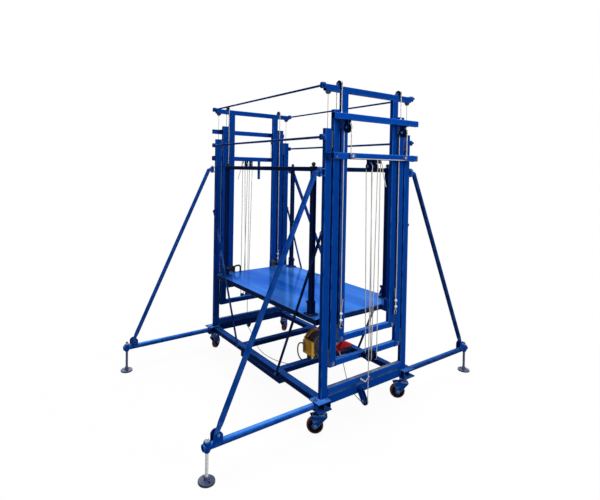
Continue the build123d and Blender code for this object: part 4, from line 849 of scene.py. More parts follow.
def kneeBraces():
    shape = Shape()
    foot, top = (Vector((x, 0, z)) for x, z in (knee["foot"], knee["top"]))
    way = (top - foot).normalized()
    across = Vector((-way.z, 0, way.x))
    low, high = foot - way * knee["overhang"], top + way * knee["overhang"]
    outer = roundedLoop(*knee["half"], 2.5)
    inner = roundedLoop(*[half - knee["wall"] for half in knee["half"]], 1.0)
    for sx, sy in corners.values():
        rings = []
        for spot, section in ((low, outer), (high, outer), (high, inner), (low, inner)):
            ring = [spot + across * a + Vector((0, b, 0)) for a, b in section]
            rings.append([(sx * p.x, p.y + sy * knee["y"], p.z) for p in ring])
        # the right braces take the dark navy copy and the left ones the shade copy of the blue, both painted shade
        shape.loft(rings, "navyPaint" if sx > 0 else "shadePaint", True)
    shape.piece("kneeBraces", "base", ["knee_braces"], "mast_paint")


def frameFasteners():
    shape = Shape()
    for sx, sy in corners.values():
        x, y = sx * tower["x"], sy * hinge["y"]
        for low, high in hinge["pins"]:
            shape.rod((x, y, low), (x, y, high), hinge["pin"], "blueZinc")
            shape.bolt((x, y, high), (0, 0, 1), 10, 9, "blueZinc")
        for kneeX, kneeZ in (knee["foot"], knee["top"]):
            shape.bolt((sx * kneeX, sy * knee["boltY"], kneeZ), (0, sy, 0), knee["bolt"], 7, "blueZinc")
        for z in outerStage["beamBolts"]:
            shape.bolt((sx * beamX[1], sy * outerStage["y"], z), (sx, 0, 0), 6.2, 6, "blueZinc")
    shape.piece("frameFasteners", "base", ["frame_fasteners"], "zinc_steel")


cleat = {"low": (-16, 228), "ends": ((-61, 259), (19, 253)), "half": 5.5, "proud": 6, "taper": 2.5}


def barCleat():
    # a bent strap on the outer bar, which keeps the rope clear of it
    shape = Shape()
    path = [cleat["ends"][0], cleat["low"], cleat["ends"][1]]
    rings = []
    for i, (y, z) in enumerate(path):
        before, after = Vector(path[max(i - 1, 0)]), Vector(path[min(i + 1, 2)])
        way = (after - before).normalized()
        out = Vector((-way.y, way.x)) * cleat["half"]
        near, far = postX[1] + 0.2, postX[1] + cleat["proud"] - (cleat["taper"] if i != 1 else 0)
        rings.append([(near, y + out.x, z + out.y), (far, y + out.x, z + out.y), (far, y - out.x, z - out.y),
                      (near, y - out.x, z - out.y)])
    shape.loft(rings, "turnedSteel")
    for y, z in cleat["ends"]:
        shape.bolt((postX[1] + 3, y, z), (1, 0, 0), 4.6, 5.5, "turnedSteel")
    shape.piece("barCleat", "base", slot="zinc_steel")


baseFrame()
tieRods("mastTieRods", "base", "mast_tie_rods", mastRod)
tieRods("topTieRods", "inner", "top_tie_rods", topRod)
kneeBraces()
frameFasteners()
barCleat()
print("base and rods made")

arm = {"z": 185, "r": 19, "start": 440, "jack": 1160, "boss": 156, "knuckle": 17, "end": 26,
       "knuckleZ": (166.2, 203.8)}
brace = {"z": 1615, "head": 462, "r": 16, "link": 13, "foot": (1105, 238), "neck": 62,
         "swage": [(15.8, 0), (15.6, 14), (13.6, 30), (13.4, 74)], "knuckleZ": (1599.2, 1630.8)}
clevis = {"outline": [(1077, 195), (1133, 195), (1133, 238), (1124, 250), (1110, 256), (1096, 254), (1084, 246),
                      (1077, 234)], "gap": 15, "thick": 6, "pin": 6, "ring": 13, "wire": 1.7,
          "pinX": (-27, 26), "headX": 21, "ringX": -26}
jackFoot = {"pad": [(10, 0.2), (45, 0.2), (45.9, 1.2), (45.9, 8), (44.6, 9.8), (22, 12.4), (16.4, 14), (14.4, 18),
                    (13.4, 30), (12.6, 31), (10.4, 31), (10.4, 12), (10, 12)],
            "boss": [(12, 0), (15, 1.4), (17.5, 8), (20.4, 14), (20.6, 18), (20.6, 50), (19.4, 55), (18, 56)],
            "screw": (22, 231), "r": 9.4, "pitch": 3.0, "lockNut": (211.5, 14.5, 11),
            "rim": [(40, 0.1), (45.9, 1.0), (45.95, 8.1), (44.8, 10.1), (42, 10.8), (41, 10.3)],
            "bolts": ((24, 4), (-29, 0)), "boltZ": 11, "depth": 0.6}


def outrigger(name):
    sx, sy = corners[name]
    shape = Shape()

    def at(y, z, x=0):
        return (sx * (tower["x"] + x), sy * y, z)
    # the back right tubes take a darker copy of the blue as painted shade; the others carry a painted top light
    tubePaint = "shadePaint" if name == "BackRight" else "armPaint"
    shape.pipe(at(arm["start"], arm["z"]), at(arm["jack"] + arm["end"], arm["z"]), arm["r"], tubePaint)
    low, high = arm["knuckleZ"]
    shape.rod(at(hinge["y"], low), at(hinge["y"], high), arm["knuckle"], "bluePaint", 1.0)
    shape.turned(jackFoot["boss"], at(arm["jack"], arm["boss"]), (0, 0, 1), "bluePaint", 40)
    for way in (-1, 1):
        low, high = [tower["x"] + v for v in span(way, clevis["gap"], clevis["gap"] + clevis["thick"])]
        shape.slab([(sy * y, z) for y, z in clevis["outline"]], "x", *sorted((sx * low, sx * high)))
    head, foot = Vector(at(brace["head"], brace["z"])), Vector(at(*brace["foot"]))
    slope = (foot - head).normalized()
    neck = foot - slope * brace["neck"]
    shape.pipe(head, neck + slope * 6, brace["r"], tubePaint)
    shape.turned(brace["swage"], neck, slope, "bluePaint", 24)
    low, high = brace["knuckleZ"]
    shape.rod(at(hinge["y"], low), at(hinge["y"], high), arm["knuckle"], "bluePaint", 1.0)
    shape.rod(at(hinge["y"], brace["z"]), tuple(head), brace["link"], "bluePaint")
    inner, outer = clevis["pinX"]
    shape.rod(at(*brace["foot"], inner), at(*brace["foot"], outer), clevis["pin"], "blueZinc")
    shape.hexHead(at(*brace["foot"], clevis["headX"]), (sx, 0, 0), 10, 6, "blueZinc")
    y, z = brace["foot"]
    ring = [at(p, q, clevis["ringX"]) for p, q in arc((y, z - clevis["ring"]), clevis["ring"], 0, 360, 32)]
    shape.sweep(ring, [clevis["wire"]] * 10, "blockSteel")
    node = f"outrigger_{nodeWord(name)}"
    shape.piece(f"outrigger{name}", node, [node], "mast_paint")


def jack(name):
    sx, sy = corners[name]
    x, y = sx * tower["x"], sy * arm["jack"]
    shape = Shape()
    shape.turned(jackFoot["pad"], (x, y, 0), (0, 0, 1), "padSteel", 64, True)
    for boltX, boltY in jackFoot["bolts"]:
        shape.bolt((x + boltX, y + boltY, jackFoot["boltZ"]), (0, 0, 1), 5.5, 7, "blockSteel")
    low, high = jackFoot["screw"]
    # the front-right screw is bright steel; the other three take the darker pad steel as painted shade
    steel = "screwSteel" if name == "FrontRight" else "padSteel"
    shape.threaded((x, y, low), (x, y, high), jackFoot["r"], jackFoot["pitch"], steel, jackFoot["depth"])
    nutZ, nutR, nutHigh = jackFoot["lockNut"]
    shape.hexHead((x, y, nutZ), (0, 0, 1), nutR, nutHigh, "turnedSteel")
    shape.turned(jackFoot["rim"], (x, y, 0), (0, 0, 1), "blockSteel", 64, True)
    node = f"jack_{nodeWord(name)}"
    shape.piece(f"jack{name}", node, [node], "zinc_steel")


casterSize = {"x": 735, "y": 385, "trail": 40, "axle": 52.5, "legs": (18, 22), "crown": (111, 119),
              "crownX": (-36, 58), "crownY": 22, "kingpin": (119, 163), "kingpinR": 10, "axleR": 5.9,
              "legTop": [(-36, 115), (70, 115), (70, 104)], "legBack": (-32, 104), "legFoot": 20,
              "ribs": 8, "ribX": (14, 36), "ribY": (8, 13.2), "ribHalf": 1.8,
              "heading": {"FrontRight": 232.5, "BackRight": 232.5, "FrontLeft": 123.6, "BackLeft": 123.6},
              "race": [(24, 118), (28, 120), (28, 128), (25, 131), (25, 135), (28, 138), (28, 153), (26, 156.4)],
              "tread": [(43, -14), (46, -15), (49.5, -13.6), (51.6, -10), (52.5, -5), (52.5, 5), (51.6, 10),
                        (49.5, 13.6), (46, 15), (43, 14)],
              "core": [(6.1, -16.8), (13, -16.8), (14, -16), (15.5, -10), (34, -9), (36, -13), (39, -14.4),
                       (43.4, -14.4), (44, -13), (44, 13), (43.4, 14.4), (39, 14.4), (36, 13), (34, 9), (15.5, 10),
                       (14, 16), (13, 16.8), (6.1, 16.8)]}


def caster(name):
    sx, sy = corners[name]
    turn = Matrix.Translation((sx * casterSize["x"], sy * casterSize["y"], 0))
    turn @= Matrix.Rotation(math.radians(casterSize["heading"][name]), 4, "Z")
    trail, height = casterSize["trail"], casterSize["axle"]
    node = nodeWord(name)
    fork = Shape()
    low, high = casterSize["kingpin"]
    fork.rod((0, 0, low), (0, 0, high), casterSize["kingpinR"], "turnedSteel")
    fork.turned(casterSize["race"], (0, 0, 0), (0, 0, 1), "blueZinc", 40)
    across = casterSize["crownY"]
    fork.block(casterSize["crownX"], about(0, across), casterSize["crown"], "casterPaint", 2.5, 3)
    foot = arc((trail, height), casterSize["legFoot"], 60, -165, 16)
    leg = [*casterSize["legTop"], *foot, casterSize["legBack"]]
    for way in (-1, 1):
        fork.slab(leg, "y", *span(way, *casterSize["legs"]), "casterPaint", 1.6)
        fork.bolt((trail, way * casterSize["legs"][1], height), (0, way, 0), 8.5, 6, "blueZinc")
    fork.rod((trail, -across, height), (trail, across, height), casterSize["axleR"], "turnedSteel")
    fork.move(turn)
    fork.piece(f"casterFork{name}", f"caster_{node}", [f"caster_fork_{node}"], "zinc_steel")
    wheel = Shape()
    wheel.turned(casterSize["tread"], (trail, 0, height), (0, 1, 0), "maroonTread", 64, True)
    wheel.turned(casterSize["core"], (trail, 0, height), (0, 1, 0), "wheelCore", 64, True)
    for i in range(casterSize["ribs"]):  # ribs between hub and rim
        rib = Shape()
        for way in (-1, 1):
            y, z = span(way, *casterSize["ribY"]), about(0, casterSize["ribHalf"])
            rib.block(casterSize["ribX"], y, z, "wheelCore", 0.8)
        ribTurn = Matrix.Rotation(math.tau * i / casterSize["ribs"], 4, "Y")
        wheel.absorb(rib, Matrix.Translation((trail, 0, height)) @ ribTurn)
    wheel.move(turn)
    wheel.piece(f"casterWheel{name}", f"wheel_{node}", [f"caster_wheel_{node}"], "wheel_rubber")


for name in corners:
    outrigger(name)
    jack(name)
    caster(name)
print("outriggers and casters made")

platform = {"halfX": 675, "halfY": 395, "top": 690, "rim": (650, 687), "width": 40, "tubes": (-340, 0, 340),
            "tubeHalf": 15}
carriage = {"low": 650, "high": 735, "armX": (675, 697), "armY": (204.5, 305), "shoeX": (697, 711.5),
            "shoeY": (222.5, 254.5), "cheekX": (696, 734), "cheekY": (204.5, 210.5), "lugX": (690, 697),
            "lugY": (275, 305), "lugLow": 689, "pinX": (696, 709), "pinY": 288, "pinZ": 718, "pinR": 4.9,
            "boltX": 684, "bolts": (225, 285)}
deck = {"grid": (54, 32), "middle": 689.45, "under": 687.1, "border": 60, "bevel": 0.9, "plugZ": 689.5,
        "plugX": (-650, -340, 0, 340, 650), "plugY": (-375, 375),
        "plug": [(6.2, 0), (6.2, 0.25), (5.4, 0.45), (2.0, 0.45), (1.6, -0.6)]}
guard = {"x": 580, "y": 355, "half": 16, "foot": 35, "thick": 6, "top": 1648, "rail": 30, "sleeve": 20.5,
         "sleeveTop": 778, "clampZ": 762, "wall": 2, "round": 4, "sleeveWall": 4, "boltAside": 27, "railHalf": 15,
         "clamp": [(7, 12), (10, 13), (10.5, 15), (10.5, 22), (9, 24.5)]}


def platformFrame():
    shape = Shape()
    z, halfX, halfY = platform["rim"], platform["halfX"], platform["halfY"]
    inside = halfY - platform["width"]
    # the rim takes a darker copy of the blue as painted shade, with brownish grime
    for sign in (-1, 1):
        shape.boxTube((-halfX, halfX), span(sign, inside, halfY), z, 0, "rimPaint")
        end = span(sign, halfX - platform["width"], halfX)
        shape.boxTube(end, (-inside, inside), z, 1, "rimPaint", weld=(-1, 1))
    # the cross tubes take the dark navy copy of the blue, painted shade
    for x in platform["tubes"]:
        shape.boxTube(about(x, platform["tubeHalf"]), (-inside, inside), z, 1, "navyPaint", weld=(-1, 1))
    for sx, sy in corners.values():  # carriages that run on the inner posts
        tall, top = (carriage["low"], carriage["high"]), platform["top"]
        shape.block(span(sx, *carriage["armX"]), span(sy, *carriage["armY"]), (carriage["low"], top), bevel=1.5)
        shape.block(span(sx, *carriage["shoeX"]), span(sy, *carriage["shoeY"]), tall, "nylonPad", 2.0)
        shape.block(span(sx, *carriage["cheekX"]), span(sy, *carriage["cheekY"]), tall, bevel=1.2)
        lugZ = (carriage["lugLow"], carriage["high"])
        shape.block(span(sx, *carriage["lugX"]), span(sy, *carriage["lugY"]), lugZ, bevel=1.5)
        start, end = [(sx * x, sy * carriage["pinY"], carriage["pinZ"]) for x in carriage["pinX"]]
        shape.rod(start, end, carriage["pinR"], "brightZinc")
        for y in carriage["bolts"]:
            shape.bolt((sx * carriage["boltX"], sy * y, top), (0, 0, 1), 6, 6, "blueZinc")
    shape.piece("platformFrame", "platform", ["platform_frame"], "mast_paint")


def deckSheet():
    # a sheet with a slight quilted waviness between its welds, and a turned edge
    shape = Shape()
    part = bmesh.new()
    countX, countY = deck["grid"]
    bmesh.ops.create_grid(part, x_segments=countX, y_segments=countY, size=0.5)
    halfX, halfY, border = platform["halfX"], platform["halfY"], deck["border"]
    for vert in part.verts:
        x, y = vert.co.x * 2 * halfX, vert.co.y * 2 * halfY
        swell = 0.25 * math.sin(x / 54.1) * math.cos(y / 61.0) + 0.2 * math.sin(x / 131 + y / 97)
        edge = min(1.0, (halfX - abs(x)) / border, (halfY - abs(y)) / border)
        vert.co = (x, y, deck["middle"] + swell * max(edge, 0.0))
    made = bmesh.ops.extrude_face_region(part, geom=part.faces[:])
    for item in made["geom"]:
        if isinstance(item, bmesh.types.BMVert):
            item.co.z = deck["under"]
    rims = [e for e in part.edges if len(e.link_faces) == 2 and e.calc_face_angle(0) > 1.0]
    bmesh.ops.bevel(part, geom=rims, offset=deck["bevel"], segments=2, profile=0.5, affect="EDGES")
    shape.take(part, "deckPaint")
    for x in deck["plugX"]:  # plug welds
        for y in deck["plugY"]:
            shape.turned(deck["plug"], (x, y, deck["plugZ"]), (0, 0, 1), "deckPaint", 20)
    shape.piece("deckSheet", "platform", ["deck_sheet"], "deck_paint")


def guardRail():
    shape = Shape()
    low, half = platform["top"] + guard["thick"], guard["half"]
    wall, rounding, aside, railHalf = guard["wall"], guard["round"], guard["boltAside"], guard["railHalf"]
    rail = (guard["top"] - guard["rail"], guard["top"])
    # posts, sleeves and rails take the dark navy copy of the blue, painted shade
    for sx, sy in corners.values():
        x, y = sx * guard["x"], sy * guard["y"]
        shape.block(about(x, guard["foot"]), about(y, guard["foot"]), (platform["top"], low), "navyPaint")
        shape.boxTube(about(x, half), about(y, half), (low, guard["top"]), 2, "navyPaint", wall, rounding)
        sleeve, sleeveZ = guard["sleeve"], (low, guard["sleeveTop"])
        shape.boxTube(about(x, sleeve), about(y, sleeve), sleeveZ, 2, "navyPaint", guard["sleeveWall"], rounding, (-1,))
        for dx in (-aside, aside):
            for dy in (-aside, aside):
                shape.bolt((x + dx, y + dy, low), (0, 0, 1), 5.5, 7, "blockSteel")
        # the screw that clamps the post in its sleeve
        side = (x - sx * sleeve, y, guard["clampZ"])
        shape.hexHead(side, (-sx, 0, 0), 9, 6, "blockSteel")
        shape.rod((side[0] - sx * 5, y, side[2]), (side[0] - sx * 15, y, side[2]), 4, "turnedSteel")
        shape.turned(guard["clamp"], side, (-sx, 0, 0), "blackMoulding", 12)
    reach = guard["x"] - half
    for sy in (-1, 1):
        railY = about(sy * guard["y"], railHalf)
        shape.boxTube((-reach, reach), railY, rail, 0, "navyPaint", wall, rounding, (-1, 1))
    endX, endY = about(guard["x"], railHalf), about(0, guard["y"] - half)
    shape.boxTube(endX, endY, rail, 1, "navyPaint", wall, rounding, (-1, 1))
    shape.piece("guardRail", "platform", ["guard_rail"], "mast_paint")


grip = {"x": -655, "handle": (-230, -168), "rise": 728, "bend": 20, "r": 7.9, "latch": 196, "latchTop": 744, "tilt": 60,
        "cap": 16, "capThick": 4, "knob": 14, "knobRise": 17, "leverZ": 742, "latchR": 8,
        "flange": [(13, 690), (13, 693), (10, 695), (8.2, 698)],
        "lever": [(10, -17), (12.6, -14), (13, -9), (13, 9), (12.6, 14), (10, 17)]}


def platformGrips():
    shape = Shape()
    top = guard["top"]
    for sx, sy in corners.values():
        x, y = sx * guard["x"], sy * guard["y"]
        shape.block(about(x, grip["cap"]), about(y, grip["cap"]), (top, top + grip["capThick"]), "blackMoulding", 1.5)
        ball = [(9, top + 3), (8, top + 5)]
        ball += [(grip["knob"] * math.sin(t), top + grip["knobRise"] - grip["knob"] * math.cos(t)) for t in
                 [math.radians(40 + 8.75 * i) for i in range(16)]]
        shape.turned(ball + [(0.8, top + 31)], (x, y, 0), (0, 0, 1), "blackMoulding", 32)
    x, rise, bend = grip["x"], grip["rise"], grip["bend"]
    low, high = grip["handle"]
    bow = [(low, platform["top"]), *arc((low + bend, rise), bend, 180, -90), *arc((high - bend, rise), bend, 90, -90),
           (high, platform["top"])]
    shape.sweep(evenly([(x, y, z) for y, z in bow], 4), [grip["r"]] * 20, "blackMoulding")
    for y in (low, high, grip["latch"]):
        shape.turned(grip["flange"], (x, y, 0), (0, 0, 1), "blackMoulding", 28)
    y = grip["latch"]
    shape.rod((x, y, platform["top"]), (x, y, grip["latchTop"]), grip["latchR"], "blackMoulding", 1.0)
    tilt = math.radians(grip["tilt"])
    way = (-math.sin(tilt), 0, math.cos(tilt))
    shape.turned(grip["lever"], (x, y, grip["leverZ"]), way, "blackMoulding", 32)
    shape.piece("platformGrips", "platform", ["platform_grips"], "black_grip")


platformFrame()
deckSheet()
guardRail()
platformGrips()
print("platform made")

hoist = {"x": 240, "z": 338, "floor": 205, "coil": 55, "right": 133, "left": 123, "pitch": 6.5, "turns": 5,
         "straight": 70}
motor = {"y": -24, "z": 322, "r": 82, "root": 75, "x": (205, 300), "fins": 44,
         "foot": ((215, 265), (-84, 36), (205, 275)), "footBolts": (-72, 24), "footBoltZ": 222,
         "bell": [(60, 0), (77, 0.6), (81, 3), (82, 5), (82, 13), (76, 15)],
         "cowl": [(76, 0), (83.4, 0.4), (84, 1.5), (84, 13), (82.4, 16.4), (79, 18), (71, 18), (70, 17), (70, 8),
                  (3, 8)],
         "rings": (18, 31, 44, 57), "ringHalf": 2.4, "ringX": (8, 16), "hub": [(12, 7), (12, 16.6), (9, 17.6)],
         "spokes": 16, "spoke": ((8.5, 15), (-2, 2), (9, 70.5)), "bellBolts": 68}
strap = {"x": (208, 242), "r": 87.5, "half": 5.4, "left": 362, "round": 4.8,
         "tab": ((206, 244), (-112, -92), (362, 365.5)), "boltX": (214, 236), "boltY": -105, "boltZ": 365}
cover = {"x": (217, 323), "y": (-128, -107.5), "z": (258, 362), "round": 10, "plate": ((226, 256), (276, 346)),
         "slope": 4, "neckY": -98.5, "neckTop": 280, "lip": 0.8, "lipY": (7, 3), "screw": 10, "gland": (-113, 318),
         "glandForm": [(12, 0), (12, 5), (8.6, 9), (6.2, 22)]}
gear = {"plates": ((72, 80), (176, 184)), "r": 96, "half": 60, "case": ((172, 205), (-10, 72), (262, 340)),
        "end": [(184, 231), (326, 231), (326, 245), (236, 284), (184, 284)], "endX": (200, 280), "endFoot": (205, 231),
        "endFootY": (184, 326), "endBolts": (206, 304), "endBoltZ": 218, "shaft": 16, "shoulder": 262,
        "caseBolts": ((4, 58), (274, 328)), "stays": 86, "stay": 4.5}


def hoistMotor():
    shape = Shape()
    low, high = motor["x"]
    spot = Vector((0, motor["y"], motor["z"]))
    shape.turned(motor["bell"], spot + Vector((low, 0, 0)), (1, 0, 0), "motorGrey", 64)
    loop = finLoop(motor["root"], motor["r"], motor["fins"])
    shape.loft([[(x, motor["y"] + a, motor["z"] + b) for a, b in loop] for x in (low + 13, high - 1)], "motorGrey")
    face = spot + Vector((high, 0, 0))
    shape.turned(motor["cowl"], face, (1, 0, 0), "motorGrey", 64)
    near, far = motor["ringX"]
    for r in motor["rings"]:  # the grille's rings
        less, more = about(r, motor["ringHalf"])
        shape.turned([(less, near), (less, far), (more, far), (more, near)], face, (1, 0, 0), "motorGrey", 48, True)
    shape.turned(motor["hub"], face, (1, 0, 0), "motorGrey", 32)
    for i in range(motor["spokes"]):
        spoke = Shape()
        spoke.block(*motor["spoke"], "motorGrey", 0.8)
        shape.absorb(spoke, Matrix.Translation(face) @ Matrix.Rotation(math.tau * i / motor["spokes"], 4, "X"))
    for y, z in arc((motor["y"], motor["z"]), motor["bellBolts"], 45, 270, 3):
        shape.hexHead((low + 1, y, z), (-1, 0, 0), 6, 5)
    shape.block(*motor["foot"], "motorGrey", 3.0)
    for y in motor["footBolts"]:
        shape.bolt((motor["foot"][0][1], y, motor["footBoltZ"]), (1, 0, 0), 6, 7)
    shape.piece("hoistMotor", "base", ["hoist_motor"], "motor_casting")


def hoistStrap():
    # a hoop over the motor, from its right leg to the cover's top
    shape = Shape()
    end = 180 - math.degrees(math.asin((strap["left"] - motor["z"]) / strap["r"]))
    path = [(motor["y"] + strap["r"], hoist["floor"]), *arc((motor["y"], motor["z"]), strap["r"], 0, end, 40)]
    middle, half = sum(strap["x"]) / 2, (strap["x"][1] - strap["x"][0]) / 2
    rings = []
    for i, (y, z) in enumerate(path):
        before, after = path[max(i - 1, 0)], path[min(i + 1, len(path) - 1)]
        way = Vector((0, after[0] - before[0], after[1] - before[1])).normalized()
        out = Vector((0, way.z, -way.y))
        section = roundedLoop(strap["half"], half, strap["round"], 5)
        rings.append([Vector((middle + b, y, z)) + out * a for a, b in section])
    shape.loft(rings, "ochrePaint")
    shape.block(*strap["tab"], "ochrePaint", 1.2)
    for x in strap["boltX"]:
        shape.bolt((x, strap["boltY"], strap["boltZ"]), (0, 0, 1), 5.5, 6, "blockSteel")
    shape.piece("hoistStrap", "base", ["hoist_strap"], "strap_paint")


def hoistEndCover():
    shape = Shape()
    (left, right), (front, back), (low, high) = cover["x"], cover["y"], cover["z"]
    x, z = (left + right) / 2, (low + high) / 2
    loop = roundedLoop(right - x, high - z, cover["round"], 6)
    slope = cover["slope"]
    small = roundedLoop(right - x - slope, high - z - slope, cover["round"] - 3, 6)
    rings = ((small, front), (loop, front + slope), (loop, back))
    shape.loft([[(x + a, y, z + b) for a, b in section] for section, y in rings], "yellowPaint")
    neckY, neckZ = (back - 2, cover["neckY"]), (low, cover["neckTop"])
    shape.block((left + 2, right - 2), neckY, neckZ, "yellowPaint", 2.0)
    lip = roundedLoop(right - x + cover["lip"], high - z + cover["lip"], cover["round"], 6)  # the cover's joint line
    shape.loft([[(x + a, back - y, z + b) for a, b in lip] for y in cover["lipY"]], "yellowPaint")
    plateX, plateZ = cover["plate"]
    shape.block(plateX, (front - 0.8, front + 1), plateZ, "ochrePaint", 0.5)
    inset = cover["screw"]
    for px in (left + inset, right - inset):
        for pz in (low + inset, high - inset):
            shape.rod((px, front - 1.2, pz), (px, front + 2, pz), 4, "blockSteel", 0.4, 16)
    shape.turned(cover["glandForm"], (left + 0.5, *cover["gland"]), (-1, 0, 0), "blackMoulding", 28)
    shape.piece("hoistEndCover", "base", ["hoist_end_cover"], "cover_paint")


def hoistGearbox():
    shape = Shape()
    x, z, half = hoist["x"], hoist["z"], gear["half"]
    shoulder, floor = gear["shoulder"], hoist["floor"]
    outline = [*arc((x, z), gear["r"], -40, 260, 40), (x - half, shoulder), (x - half, floor), (x + half, floor),
               (x + half, shoulder)]
    for low, high in gear["plates"]:
        shape.slab(outline, "y", low, high, "redPaint", 1.6)
    shape.block(*gear["case"], "redPaint", 4.0, 3)
    boltsY, boltsZ = gear["caseBolts"]
    for y in boltsY:
        for pz in boltsZ:
            shape.bolt((gear["case"][0][0], y, pz), (-1, 0, 0), 5.5, 6, "blockSteel")
    shape.slab(gear["end"], "x", *gear["endX"], "redPaint", 5.0)
    shape.block(gear["endX"], gear["endFootY"], gear["endFoot"], "blockSteel", 2.0)
    for y in gear["endBolts"]:
        shape.bolt((gear["endX"][1], y, gear["endBoltZ"]), (1, 0, 0), 6, 7, "blockSteel")
    front, back = gear["plates"][0][0], gear["plates"][1][1]
    shape.rod((x, front, z), (x, back + 6, z), gear["shaft"], "turnedSteel", 1.0, 32)
    for px, pz in arc((x, z), gear["stays"], 20, 140, 4):  # the stay bolts between the plates
        shape.rod((px, front, pz), (px, back, pz), gear["stay"], "turnedSteel")
        for y, way in ((front, -1), (back, 1)):
            shape.bolt((px, y, pz), (0, way, 0), 6.5, 7, "blockSteel")
    shape.piece("hoistGearbox", "base", ["hoist_gearbox"], "gearbox_paint")


hoistMotor()
hoistStrap()
hoistEndCover()
hoistGearbox()
print("hoist made")


def mirrorPath(path, side):
    return [(side * x, y, z) for x, y, z in path]


def bend(centre, radius, start, turn):
    # a rope's bend in the XZ plane
    return [(x, centre[1], z) for x, z in arc((centre[0], centre[2]), radius, start, turn, 24)]


def routeCurve(name, route, radius=0.0):
    curve = bpy.data.curves.new(name, "CURVE")
    curve.dimensions = "3D"
    spline = curve.splines.new("NURBS")
    spline.points.add(len(route) - 1)
    for point, spot in zip(spline.points, route):
        point.co = (*spot, 1.0)
    spline.order_u = 3
    spline.use_endpoint_u = True
    curve.resolution_u = 16
    spline.resolution_u = 16
    curve.bevel_depth = radius
    curve.bevel_resolution = 6
    curve.use_fill_caps = radius > 0
    made = bpy.data.objects.new(name, curve)
    bpy.context.scene.collection.objects.link(made)
    return made


def routePoints(route):
    made = routeCurve("route", route)
    mesh = bpy.data.meshes.new_from_object(made)
    points = [vert.co.copy() for vert in mesh.vertices]
    curve = made.data
    bpy.data.objects.remove(made)
    bpy.data.curves.remove(curve)
    bpy.data.meshes.remove(mesh)
    return points


def runLength(points):
    return sum((second - first).length for first, second in zip(points, points[1:]))


nearX, farX = tackle["x"] - tackle["r"], tackle["x"] + tackle["r"]


def hoistFalls():
    shape = Shape()
    low, high = tackle["lower"] + 1, tackle["upper"] - 1
    for name, side in sides.items():
        p = sheavePlaces(name)
        runs = ([(farX, p[0], low), (farX, p[0], tackle["becket"])], [(nearX, p[0], low), (nearX, p[1], high)],
                [(farX, p[2], low), (farX, p[1], high)], [(nearX, p[2], low), (nearX, p[3], high)])
        for run in runs:
            shape.rope(mirrorPath(run, side))
    made = shape.piece("hoistFalls", "base", ["hoist_falls"], "wire_rope", sharp=60)
    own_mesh(made)


def stageRopes():
    rise, fall = Shape(), Shape()
    outX, inX = stageSheave["x"] + stageSheave["r"], stageSheave["x"] - stageSheave["r"]
    for side in sides.values():
        for y in (-stageSheave["y"], stageSheave["y"]):
            rise.rope(mirrorPath([(outX, y, equaliser["z"]), (outX, y, stageSheave["z"])], side))
            fall.rope(mirrorPath([(inX, y, stageSheave["ropeFoot"]), (inX, y, stageSheave["z"])], side))
    up = rise.piece("stageRopeRise", None, ["stage_rope_rise"], "wire_rope", sharp=60)
    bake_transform(up)
    down = fall.piece("stageRopeFall", "inner", ["stage_rope_fall"], "wire_rope", sharp=60)
    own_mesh(down)


def platformRopes():
    rise, fall, over = Shape(), Shape(), Shape()
    outX, inX = tower["x"] + topSheave["r"], tower["x"] - topSheave["r"]
    z = topSheave["z"]
    for side in sides.values():
        for y in (-topSheave["y"], topSheave["y"]):
            rise.rope(mirrorPath([(outX, y, topSheave["anchor"]), (outX, y, z)], side))
            fall.rope(mirrorPath([(inX, y, topSheave["ropeFoot"]), (inX, y, z)], side))
            over.rope(mirrorPath(bend((tower["x"], y, z), topSheave["r"], 0, 180), side))
    up = rise.piece("platformRopeRise", None, ["platform_rope_rise"], "wire_rope", sharp=60)
    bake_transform(up)
    down = fall.piece("platformRopeFall", "inner", ["platform_rope_fall"], "wire_rope", sharp=60)
    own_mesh(down)
    over.piece("platformRopeBends", "inner", ["platform_rope_bends"], "wire_rope", sharp=60)


def limitCords():
    # thin cords that come up out of the outer posts to the lugs under the top beams
    shape = Shape()
    for sx, sy in corners.values():
        x, y = sx * tower["x"], sy * limitCord["y"]
        path = [(x, y, limitCord["low"]), (x, y, limitCord["high"])]
        shape.sweep(evenly(path, 12), [limitCord["r"]] * 8, "blockSteel")
    made = shape.piece("limitCords", None, ["limit_cords"], "wire_rope", sharp=60)
    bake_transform(made)


ropeEnd = {"r": 10.5, "aside": 5, "rope": 2.6, "legs": 5.6, "stray": 9, "grips": (38, 80), "past": 8,
           "stageTail": 56, "deckTail": -26, "deckEye": (703, 280, 288, 718), "thimble": 2.4,
           "gripX": (-7, 4.5), "gripHalf": (10, 8.5), "boltAside": 5.6, "boltX": 7.4, "boltR": 2.4, "nutAt": 3.6}


